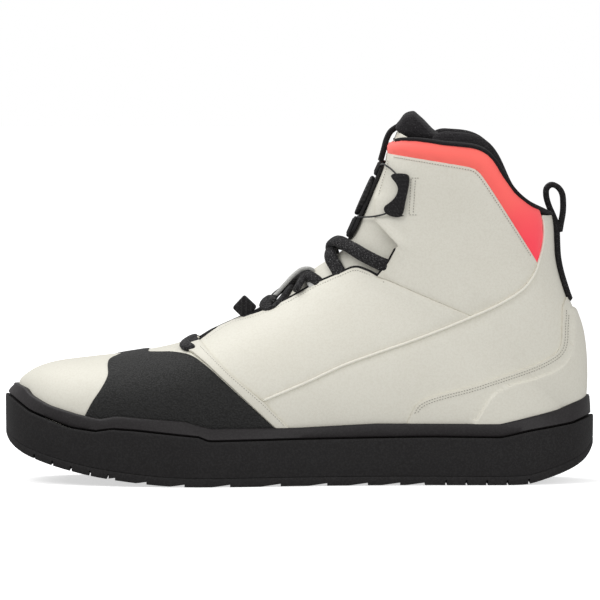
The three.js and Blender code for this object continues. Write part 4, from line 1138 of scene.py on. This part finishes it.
def build_pull_tab():
    """Folded mesh pad on top of the tongue."""
    tab = [(49.5, 180.9), (51.7, 184.2), (54.1, 187.3), (56.2, 188.3), (58.9, 188.6), (60.4, 187.4),
           (64, 184.2), (68.2, 179.8), (71.6, 177), (71, 174.6), (60, 175.2), (54, 177.4)]
    outline = spline(tab, 1.0, closed=True)[:-1]
    middle = outline.mean(0)
    spans = np.linspace(-1, 1, 33)
    points = []
    for s in spans:
        size = (1 - abs(s) ** 7) ** 0.3 * 0.9 + 0.1
        dip = 2.2 * s * s
        for q in outline:
            xz = middle + (q - middle) * size
            points.append((xz[0] - dip * 0.5, s * 15, xz[1] - dip))
    count = len(outline)
    faces = tube_faces(len(spans), count)
    faces += [tuple(range(count)), tuple(range((len(spans) - 1) * count, len(spans) * count))]
    tab_piece = new_object("tongue_pull_tab", points, faces, FINISHES["mesh"])
    fix_normals(tab_piece)
    make_smooth(tab_piece, 60)
    hand_over(tab_piece, "tongue", "mesh", ["tongue_pull_tab"])
    line = spline([(41.6, 162.6), (43.4, 169), (44.9, 174.4), (47, 178.2), (50.4, 180.6), (54, 182.4)], 0.8)
    route = np.stack([line[:, 0], 0 * line[:, 0], line[:, 1]], 1)
    d = np.gradient(line, axis=0)
    d /= np.linalg.norm(d, axis=1)[:, None]
    strip = sweep("tongue_edge", route, oval(6.5, 1.5, 20, 4), FINISHES["binding"],
                  np.stack([-d[:, 1], 0 * d[:, 0], d[:, 0]], 1), taper=1)
    hand_over(strip, "tongue", "binding")


# ------------------------------------------------------------------ dial and cables
DIAL_MATRIX = (Matrix.Translation((DIAL_FACE[0], 0, DIAL_FACE[1]))
               @ Matrix.Rotation(-math.radians(90 - DIAL_TILT), 4, "Y"))


def dial_point(x, y, z):
    """A point of the dial's own frame, in the boot."""
    return np.array(DIAL_MATRIX @ Vector((x, y, z)))


def disc(name, radius, low, high, sides, material, bevel):
    bpy.ops.object.select_all(action="DESELECT")
    bpy.ops.mesh.primitive_cylinder_add(vertices=sides, radius=radius, depth=high - low, location=(0, 0, 0))
    obj = bpy.context.object
    obj.name = obj.data.name = name
    obj.data.transform(Matrix.Translation((0, 0, (low + high) / 2)))
    obj.data.materials.append(material)
    round_edges(obj, bevel)
    return obj


def join_pieces(name, pieces):
    """Joins pieces into the first one."""
    pick(pieces[0])
    for p in pieces:
        p.select_set(True)
    bpy.ops.object.join()
    obj = pieces[0]
    obj.name = obj.data.name = name
    return obj


def build_dial():
    """Base of the dial: plate, cup, wings and teeth."""
    plastic = FINISHES["plastic"]
    parts = [disc("cup", 9, -7, -2.9, 48, plastic, 0.4)]
    outline = []
    plate_radius, plate_ends = 9.5, (-24.5, 20.5)
    for centre, start in ((plate_ends[1] - plate_radius, -90), (plate_radius + plate_ends[0], 90)):
        turn = np.radians(start + np.linspace(0, 180, 17))
        outline += list(zip(centre + plate_radius * np.cos(turn), plate_radius * np.sin(turn)))
    points = [(x, y, z) for z in (-3.6, -2.02) for x, y in outline]
    count = len(outline)
    faces = tube_faces(2, count) + [tuple(range(count)), tuple(range(count, 2 * count))]
    plate = mesh_object("plate", points, faces, plastic)
    fix_normals(plate)
    round_edges(plate, 0.25, 2)
    parts.append(plate)
    for low, high in ((-22.8, -11.6), (11.6, 19.8)):
        wing = block("wing", (low, -6.2, -2.6), (high, 6.2, -0.3), 1, plastic, 0.9, 0)
        rib = block("rib", (low + 1.4, -4, -0.6), (high - 1.4, 4, 0.1), 0, plastic, 0.5)
        parts += [wing, rib]
    for k in range(12):
        a = math.radians(k * 30 + 15)
        tooth = block("tooth", (-0.5, -0.5, -2.4), (0.5, 0.5, -2.05), 0, plastic, 0.1)
        tooth.data.transform(Matrix.Translation((9.9 * math.cos(a), 9.2 * math.sin(a), 0)))
        parts.append(tooth)
    base = to_place(join_pieces("dial_base", parts), DIAL_MATRIX)
    make_smooth(base, 35)
    hand_over(base, "tongue", "dial_plastic", ["dial_base"])
    build_knob()


def build_knob():
    """Gripped knob: a ring of ribs round a domed top."""
    count, grips = 192, 24
    a = np.arange(count) / count * 2 * math.pi
    rib = 0.5 + 0.5 * np.cos(a * grips)
    rings = []
    for radius, z, depth in ((10.1, -1.9, 0), (10.6, -1.7, 0.35), (10.8, -1.0, 0.6), (10.8, -0.2, 0.6),
                             (10.5, 0.25, 0.4), (9.9, 0.5, 0.1), (9.0, 0.58, 0), (8.4, 0.52, 0),
                             (8.1, 0.3, 0), (5.2, 0.32, 0),
                             (4.7, 0.58, 0), (4.25, 0.55, 0), (4.12, 0.3, 0), (4.12, -1.9, 0)):
        reach = radius - depth * (1 - rib)
        rings.append(np.stack([reach * np.cos(a), reach * np.sin(a), np.full(count, z)], 1))
    knob = mesh_object("dial_knob", np.vstack(rings).tolist(), tube_faces(len(rings), count, True),
                       FINISHES["plastic"])
    fix_normals(knob)
    to_place(knob, DIAL_MATRIX)
    make_smooth(knob, 35)
    hand_over(knob, "dial_knob", "dial_plastic", ["dial_knob"])
    cap = disc("dial_cap", 3.85, -1.4, 0.55, 48, FINISHES["cap"], 0.25)
    post = disc("post", 1.7, -5.6, -1.3, 24, FINISHES["cap"], 0)
    marks = [block("mark", (1.2, -0.22, 0.5), (3.0, 0.22, 0.66), 0, FINISHES["cap"], 0.05) for _ in range(3)]
    for k, mark in enumerate(marks):
        mark.data.transform(Matrix.Rotation(math.radians(120 * k + 90), 4, "Z"))
    carrier = to_place(join_pieces("dial_carrier", [cap, post] + marks), DIAL_MATRIX)
    make_smooth(carrier, 35)
    hand_over(carrier, "dial_carrier", "dial_cap", ["dial_carrier"])


CABLE_SIDE = [(45.4, 161), (50, 157.2), (52.6, 152), (52.6, 146.5), (50, 140.5), (46.2, 137.2),
              (40.4, 135.2)]
GUIDE_SIDE = [(48.2, 155.4), (49, 156.5), (55.6, 156.6), (56.4, 154.6), (54.6, 143.9), (52.4, 135.8),
              (49.8, 135), (45.2, 136.8), (44.5, 139.6), (47.6, 142.6), (49.8, 145), (51.3, 149),
              (50.6, 151.6)]


def build_cables():
    """Cables from the dial round their guides."""
    for name, side in SIDES.items():
        mid, _ = on_form(CABLE_SIDE, side, 2.2)
        top, foot = dial_point(17.5, side * 6.6, -1.5), dial_point(-11.4, side * 10.4, -2.0)
        route = spline(np.vstack([[top], mid, [foot]]), 0.8)
        cable = sweep(f"cable_{name}", route, oval(0.45, 0.45, 8), FINISHES["cable"])
        ends = [Vector(((x + CENTRE[0]) * MM, 0, 0.147)) for x in (route[:, 0].max(), 34)]
        hand_over(cable, "tongue", "cable", [f"cable_{name}"], bend=ends)
        shape = side_outline(spline(GUIDE_SIDE, 0.7, closed=True)[:-1], side)
        guide = panel(f"cable_guide_{name}", shape, FINISHES["webbing"], 2.9, 2.3, 1.0, bevel=0.5)
        hand_over(guide, "boot", "webbing", [f"cable_guide_{name}"])


# ------------------------------------------------------------------ laces and webbing
LACE, WIDE_LACE = oval(3.0, 1.6, 14, 2.6), oval(3.5, 1.9, 16, 2.6)
LOOP_TAPE, GREY_CORD = oval(2.6, 0.5, 12, 3), oval(1.0, 1.0, 12)
HEEL_WEB, LOOP_WEB = oval(7, 1.5, 24, 5), oval(7, 1.45, 24, 5)


def build_laces():
    """Laces, their loops and the keeper."""
    def over(r, out):
        """A stop on the ridge at a row, that far out."""
        p, n = skin(np.array([r]), np.array([0.0]))
        return p[0] + n[0] * out, n[0]

    def at(x, z, side, out):
        """A stop over a side-view point, that far out."""
        p, n = on_form([(x, z)], side, out)
        return p[0], n[0]

    def strap(name, stops, section, key, slot, nodes, taper=2.0):
        """Sweeps and hands over one lace or loop through its stops."""
        p = spline(np.array([s[0] for s in stops]), 0.9)
        raw = np.array([s[0] for s in stops])
        k = np.concatenate([[0], np.cumsum(np.linalg.norm(np.diff(raw, axis=0), axis=1))])
        s = np.linspace(0, k[-1], len(p))
        n = np.stack([np.interp(s, k, [q[1][c] for q in stops]) for c in range(3)], 1)
        piece = sweep(name, p, section, FINISHES[key], n, taper=taper)
        hand_over(piece, "boot", slot, nodes)

    def free(x, y, z):
        """A stop in the open over the throat."""
        return np.array([x, y, z], float), np.array([-0.6, 0.0, 0.8])

    strap("lace_forefoot", [
        at(-52, 68.8, LATERAL, 0.6), at(-54.8, 68, LATERAL, 1.2), at(-57.4, 69.4, LATERAL, 1.0),
        over(6.15, 0.3), at(-54, 69.5, MEDIAL, 0.8), at(-45, 72, MEDIAL, 0.3), at(-32, 77.2, MEDIAL, 0.3),
        at(-24, 82, MEDIAL, 1.2),
        free(-15, 9, 89.8), free(-16.4, 0, 92.4), free(-17.4, -7.5, 90.2), free(-14, -12.5, 88.4),
        free(-8.4, -6, 93), free(-3.4, 4, 99), free(1, 10, 102.6), free(4.6, 4, 106), free(3.6, -4, 105.8),
        free(0.6, -10.5, 101), free(-1.6, -14, 97)], LACE, "lace", "lace", ["lace_forefoot"])
    strap("lace_cross", [
        free(12, -12.5, 99.5), free(8.8, -11.2, 102.6), free(4.6, -7.5, 105), free(0.6, 0, 104.6),
        free(-5, 5, 99.6), free(-11, 3, 95.4), free(-13.4, -4.5, 92.8), free(-14.4, -10, 90.6)],
        LACE, "lace", "lace", [])
    strap("lace_instep_over", [
        at(47.4, 109.4, LATERAL, -2.4), at(42.4, 111.2, LATERAL, 0.8), at(34.3, 115.2, LATERAL, 1.8),
        free(26, -14, 119.6), free(20.2, -7.6, 122.4), free(17, 0, 121.6), free(17, 6.4, 117.6),
        free(19, 11, 111.4), free(22, 15.2, 104.4)],
        WIDE_LACE, "lace", "lace", ["lace_instep_over"])
    strap("lace_instep_under", [
        at(47.4, 109.4, MEDIAL, -2.4), at(42.4, 111.2, MEDIAL, 0.8), at(34, 114.8, MEDIAL, 1.8),
        free(26.4, 13, 118.8), free(20, 5.4, 120.2), free(16.4, -1.6, 117.8), free(16.4, -7.4, 114),
        free(18.8, -11.4, 109.6), free(22, -15.4, 104.4)],
        WIDE_LACE, "lace", "lace", ["lace_instep_under"])
    strap("grey_loop", [
        free(-13.4, -4.5, 93.4), free(-10.6, -5.2, 96.2), free(-6.6, -5.8, 100.8), free(-2.3, -6, 105.3),
        free(1.4, -5.6, 108), free(5.2, -4.6, 108.4), free(8.2, -3, 107)],
        GREY_CORD, "grey_webbing", "grey_webbing", [])
    tabs = {"front": [(-50.6, 69), (-52.6, 71), (-54.8, 73)],
            "middle": [(-26.4, 83.6), (-27, 85), (-27.4, 86.2)],
            "rear": [(8, 99.6), (6.8, 101.2), (5.6, 102.4)]}
    for name, side in SIDES.items():
        for where, line in tabs.items():
            strap(f"lace_loop_{where}_{name}", [at(*q, side, o) for q, o in zip(line, (0.1, 0.9, 0.5))],
                  LOOP_TAPE, "webbing" if where != "rear" else "grey_webbing", "grey_webbing",
                  [f"lace_loop_{where}_{name}"], 1.0)
    keeper = block("lace_keeper", (-4.5, -7, -4.5), (4.5, 7, 4.5), 2, FINISHES["webbing"], 1.1, 1)
    to_place(keeper, Matrix.Translation((-27.6, 0, 88.4)) @ Matrix.Rotation(math.radians(43), 4, "Y"))
    add_uv(keeper, np.array([(v.co.x / MM, v.co.y / MM) for v in keeper.data.vertices]))
    make_smooth(keeper, 50)
    hand_over(keeper, "boot", "webbing", ["lace_keeper"])


def build_heel_webbing():
    """Fixed strap up the heel and the free pull loop."""
    web = FINISHES["webbing"]
    rows = np.linspace(15.7, 17.95, 40)
    p, n = skin(rows, np.full(40, 0.001), heel=True)
    p[:, 1] = 0
    n[:, 1] = 0
    strap = sweep("heel_strap", p + n * 1.6, HEEL_WEB, web, n, taper=0.6)
    hand_over(strap, "boot", "webbing", ["heel_strap"])
    loop = [(132.4, 128.4), (131.6, 131), (129.8, 135.5), (127.6, 140.5), (126.3, 145.5), (126.6, 149.2),
            (129, 151),
            (132.2, 149.8), (134.4, 146.6), (135, 141.5), (134.8, 136.6), (133.9, 131.4), (133.1, 126.6)]
    line = spline(loop, 0.8)
    route = np.stack([line[:, 0], 0 * line[:, 0], line[:, 1]], 1)
    d = np.gradient(line, axis=0)
    d /= np.linalg.norm(d, axis=1)[:, None]
    normals = np.stack([-d[:, 1], 0 * d[:, 0], d[:, 0]], 1)
    free = sweep("heel_loop", route, LOOP_WEB, web, normals, taper=0.6)
    hand_over(free, "heel_loop", "webbing", ["heel_loop"])


# ------------------------------------------------------------------ stitching
def build_stitching():
    """Stitch rows and the pipings of the throat and notch."""
    pitch = bpy.context.scene.boot_sizes.stitch_pitch / MM
    box = corners([(61.1, 154.9), (57.2, 154.9), (56, 136.3), (60, 136.3)], 1.0)
    strip_edge = corners([(-49.6, 68.6), (-35.2, 55.2), (-18.6, 41.4), (-7.6, 30.6)], 1.0)
    for name, side in SIDES.items():
        rows = [
            (shifted(spline(EYESTAY), 1.5)[3:-3], 0.62), (shifted(spline(QUARTER_TOP[3:]), 1.5)[1:-2], 0.62),
            (shifted(spline(COLLAR_EDGE), -1.4)[3:-4], 0.62),
            (shifted(corners(SHIN_EDGE[1:]), -1.6)[2:-3], 1.0),
            (shifted(corners(SHIN_EDGE[:2]), -1.5)[3:-2], 1.0), (strip_edge, 1.52),
            (shifted(spline(HEEL_OVERLAY_TOP[1:-1]), -1.3)[2:-2], 1.58),
            (shifted(spline(HEEL_OVERLAY_TOP[1:-1]), -2.6)[3:-4], 1.6),
            (box, 0.78), (corners([(59.2, 154), (58.1, 137.2)], 1.0), 0.78),
        ]
        runs = [on_form(even(line, 1.0), side, lift) for line, lift in rows]
        piece = stitches(f"stitching_{name}", runs, FINISHES["thread"], pitch, pitch * 0.6, 0.16)
        hand_over(piece, "boot", "thread_leather")
        foot = [(40.8, 104.6), (46, 111.4), (50.2, 119.2)]
        for label, line, out, lift in (("throat", spline(EYESTAY, 1.0), -0.45, 0.1),
                                       ("notch", spline(foot, 1.0), 0.9, 1.3)):
            p, n = on_form(shifted(line, out), side, lift)
            cord = sweep(f"{label}_piping_{name}", p, oval(0.6, 0.6, 8), FINISHES["binding"], n, taper=0.8)
            hand_over(cord, "boot", "binding")


# ------------------------------------------------------------------ stage
def build_stage():
    """Floor, lights and camera."""
    look = bpy.context.scene.boot_stage
    bpy.ops.object.select_all(action="DESELECT")
    bpy.ops.mesh.primitive_plane_add(size=60, location=(0, 0, -0.0002))
    floor = bpy.context.object
    floor.name = "floor"
    f = Finish("studio_floor", 0.9)
    tone = f.noise(f.place(), 0.004, 2, 0.5)
    f.shader.inputs["Emission Color"].default_value = (1, 1, 1, 1)
    f.shader.inputs["Emission Strength"].default_value = look.floor_glow
    floor.data.materials.append(f.wire(tone.blend((0.86, 0.86, 0.86), (0.89, 0.89, 0.89))))
    floor.visible_diffuse = floor.visible_glossy = False
    world = bpy.data.worlds.new("studio")
    bpy.context.scene.world = world
    world.use_nodes = True
    sky = Signal(world.node_tree)
    seen = sky.node("ShaderNodeLightPath")
    power = seen * (1.0 - look.room_light) + look.room_light
    background = world.node_tree.nodes["Background"]
    background.inputs[0].default_value = (1, 1, 1, 1)
    world.node_tree.links.new(power.socket, background.inputs[1])
    for name, where, size, power in (("key", (-1.7, -1.0, 1.9), 1.3, look.key_light),
                                     ("fill", (1.4, -2.0, 0.8), 1.8, look.fill_light),
                                     ("top", (-0.7, 0.6, 2.1), 1.4, look.top_light)):
        light = bpy.data.lights.new(name, "AREA")
        light.size, light.energy = size, power
        lamp = bpy.data.objects.new(name, light)
        lamp.location = where
        lamp.rotation_euler = (Vector((0, 0, 0.08)) - Vector(where)).to_track_quat("-Z", "Y").to_euler()
        bpy.context.scene.collection.objects.link(lamp)
    data = bpy.data.cameras.new("camera")
    data.sensor_width, data.lens = 36, look.lens
    data.clip_end = 20
    camera = bpy.data.objects.new("camera", data)
    bpy.context.scene.collection.objects.link(camera)
    rise = math.radians(look.camera_rise)
    target = Vector((0.0004, 0, look.camera_target))
    camera.location = target + Vector((0, -math.cos(rise), math.sin(rise))) * look.camera_distance
    camera.rotation_euler = (target - camera.location).to_track_quat("-Z", "Y").to_euler()
    bpy.context.scene.camera = camera
    bpy.context.scene.view_settings.view_transform = "Standard"


# ------------------------------------------------------------------ settings
class BootColours(bpy.types.PropertyGroup):
    leather: bpy.props.FloatVectorProperty(
        name="Leather", description="Off-white of the upper", subtype="COLOR", default=(0.80, 0.78, 0.69))
    leather_shade: bpy.props.FloatVectorProperty(
        name="Leather shade", description="Darker tone of the upper", subtype="COLOR",
        default=(0.70, 0.67, 0.575))
    black: bpy.props.FloatVectorProperty(
        name="Black", description="Mesh, webbing, laces and dial", subtype="COLOR",
        default=(0.012, 0.011, 0.012))
    rubber: bpy.props.FloatVectorProperty(
        name="Rubber", description="Sole rubber", subtype="COLOR", default=(0.0075, 0.0064, 0.0068))
    patch: bpy.props.FloatVectorProperty(
        name="Toe patch", description="Pebbled patch behind the toe", subtype="COLOR",
        default=(0.011, 0.011, 0.0105))
    coral_top: bpy.props.FloatVectorProperty(
        name="Coral at the rim", description="Collar cloth near the rim", subtype="COLOR",
        default=(1.0, 0.165, 0.13))
    coral_foot: bpy.props.FloatVectorProperty(
        name="Coral below", description="Collar cloth near the ankle panel", subtype="COLOR",
        default=(1.0, 0.06, 0.095))


class BootSizes(bpy.types.PropertyGroup):
    stitch_pitch: bpy.props.FloatProperty(
        name="Stitch pitch", description="Distance from stitch to stitch", unit="LENGTH", default=0.0014)
    grain: bpy.props.FloatProperty(
        name="Grain", description="Fineness of the leather grain", default=1.0, min=0.2, max=4)


class BootStage(bpy.types.PropertyGroup):
    key_light: bpy.props.FloatProperty(
        name="Key light", description="Power of the key light", unit="POWER", default=22)
    fill_light: bpy.props.FloatProperty(
        name="Fill light", description="Power of the fill light", unit="POWER", default=19)
    top_light: bpy.props.FloatProperty(
        name="Top light", description="Power of the top light", unit="POWER", default=19)
    room_light: bpy.props.FloatProperty(name="Room light", description="Light from all round", default=0.5)
    floor_glow: bpy.props.FloatProperty(
        name="Floor glow", description="How much the white floor shines", default=0.6)
    camera_target: bpy.props.FloatProperty(
        name="Camera target", description="Height the camera looks at", unit="LENGTH", default=0.0921)
    lens: bpy.props.FloatProperty(name="Lens", description="Focal length", unit="CAMERA", default=376)
    camera_distance: bpy.props.FloatProperty(
        name="Camera distance", description="From the boot to the camera", unit="LENGTH", default=3.2)
    camera_rise: bpy.props.FloatProperty(
        name="Camera rise", description="Degrees above the horizon", default=2.2)


# ------------------------------------------------------------------ operators
class BOOT_OT_finishes(bpy.types.Operator):
    """Make every material and give the kept frame pieces theirs."""
    bl_idname = "boot.finishes"
    bl_label = "Finishes"
    bl_options = {"UNDO"}

    def execute(self, context):
        build_finishes()
        return {"FINISHED"}


class BOOT_OT_stage(bpy.types.Operator):
    """Add the floor, lights and camera."""
    bl_idname = "boot.stage"
    bl_label = "Stage"
    bl_options = {"UNDO"}

    def execute(self, context):
        build_stage()
        return {"FINISHED"}


class BOOT_OT_sole(bpy.types.Operator):
    """Model the outsole, sidewall and rubber band."""
    bl_idname = "boot.sole"
    bl_label = "Sole"
    bl_options = {"UNDO"}

    def execute(self, context):
        build_sole()
        return {"FINISHED"}


class BOOT_OT_vamp(bpy.types.Operator):
    """Model the vamp, toe patch and trim strips."""
    bl_idname = "boot.vamp"
    bl_label = "Vamp"
    bl_options = {"UNDO"}

    def execute(self, context):
        build_vamp()
        return {"FINISHED"}


class BOOT_OT_quarters(bpy.types.Operator):
    """Model the quarters, heel panels and welts."""
    bl_idname = "boot.quarters"
    bl_label = "Quarters"
    bl_options = {"UNDO"}

    def execute(self, context):
        build_quarters()
        return {"FINISHED"}


class BOOT_OT_ankles(bpy.types.Operator):
    """Model the ankle panels."""
    bl_idname = "boot.ankles"
    bl_label = "Ankle panels"
    bl_options = {"UNDO"}

    def execute(self, context):
        build_ankles()
        return {"FINISHED"}


class BOOT_OT_heel(bpy.types.Operator):
    """Model the moulded heel overlay."""
    bl_idname = "boot.heel"
    bl_label = "Heel overlay"
    bl_options = {"UNDO"}

    def execute(self, context):
        build_heel_overlay()
        return {"FINISHED"}


class BOOT_OT_collar(bpy.types.Operator):
    """Model the padded collar, its lining and its binding."""
    bl_idname = "boot.collar"
    bl_label = "Collar"
    bl_options = {"UNDO"}

    def execute(self, context):
        build_collar()
        return {"FINISHED"}


class BOOT_OT_tongue(bpy.types.Operator):
    """Model the tongue, its pad and its pull tab."""
    bl_idname = "boot.tongue"
    bl_label = "Tongue"
    bl_options = {"UNDO"}

    def execute(self, context):
        build_tongue()
        build_pull_tab()
        return {"FINISHED"}


class BOOT_OT_dial(bpy.types.Operator):
    """Model the dial's base, knob and cap."""
    bl_idname = "boot.dial"
    bl_label = "Dial"
    bl_options = {"UNDO"}

    def execute(self, context):
        build_dial()
        return {"FINISHED"}


class BOOT_OT_cables(bpy.types.Operator):
    """Model the cables and their guides."""
    bl_idname = "boot.cables"
    bl_label = "Cables"
    bl_options = {"UNDO"}

    def execute(self, context):
        build_cables()
        return {"FINISHED"}


class BOOT_OT_laces(bpy.types.Operator):
    """Model the laces, loops and keeper."""
    bl_idname = "boot.laces"
    bl_label = "Laces"
    bl_options = {"UNDO"}

    def execute(self, context):
        build_laces()
        return {"FINISHED"}


class BOOT_OT_webbing(bpy.types.Operator):
    """Model the heel strap and pull loop."""
    bl_idname = "boot.webbing"
    bl_label = "Heel webbing"
    bl_options = {"UNDO"}

    def execute(self, context):
        build_heel_webbing()
        return {"FINISHED"}


class BOOT_OT_stitching(bpy.types.Operator):
    """Sew the stitch rows."""
    bl_idname = "boot.stitching"
    bl_label = "Stitching"
    bl_options = {"UNDO"}

    def execute(self, context):
        build_stitching()
        return {"FINISHED"}


OPERATORS = [BOOT_OT_finishes, BOOT_OT_stage, BOOT_OT_sole, BOOT_OT_vamp,
             BOOT_OT_quarters, BOOT_OT_ankles, BOOT_OT_heel, BOOT_OT_collar,
             BOOT_OT_tongue, BOOT_OT_dial, BOOT_OT_cables, BOOT_OT_laces,
             BOOT_OT_webbing, BOOT_OT_stitching]


class BOOT_PT_panel(bpy.types.Panel):
    """Lists the boot's settings and the steps that build it."""
    bl_idname = "BOOT_PT_panel"
    bl_label = "Boot"
    bl_space_type = "VIEW_3D"
    bl_region_type = "UI"
    bl_category = "Boot"

    def draw(self, context):
        for group in (context.scene.boot_colours, context.scene.boot_sizes, context.scene.boot_stage):
            for key in group.bl_rna.properties.keys():
                if key not in ("rna_type", "name"):
                    self.layout.prop(group, key)
        for made in OPERATORS:
            self.layout.operator(made.bl_idname)


CLASSES = [BootColours, BootSizes, BootStage, *OPERATORS, BOOT_PT_panel]


def register():
    """Adds the classes and the scene's settings."""
    for made in CLASSES:
        bpy.utils.register_class(made)
    bpy.types.Scene.boot_colours = bpy.props.PointerProperty(type=BootColours)
    bpy.types.Scene.boot_sizes = bpy.props.PointerProperty(type=BootSizes)
    bpy.types.Scene.boot_stage = bpy.props.PointerProperty(type=BootStage)


def unregister():
    """Takes the settings and classes away again."""
    for key in ("boot_colours", "boot_sizes", "boot_stage"):
        delattr(bpy.types.Scene, key)
    for made in reversed(CLASSES):
        bpy.utils.unregister_class(made)


def main():
    """Builds the whole boot."""
    register()
    for made in OPERATORS:
        step = getattr(bpy.ops.boot, made.bl_idname.split(".")[1])
        if step() != {"FINISHED"}:
            raise RuntimeError(f"{made.bl_label} did not finish")


if __name__ == "__main__":
    main()
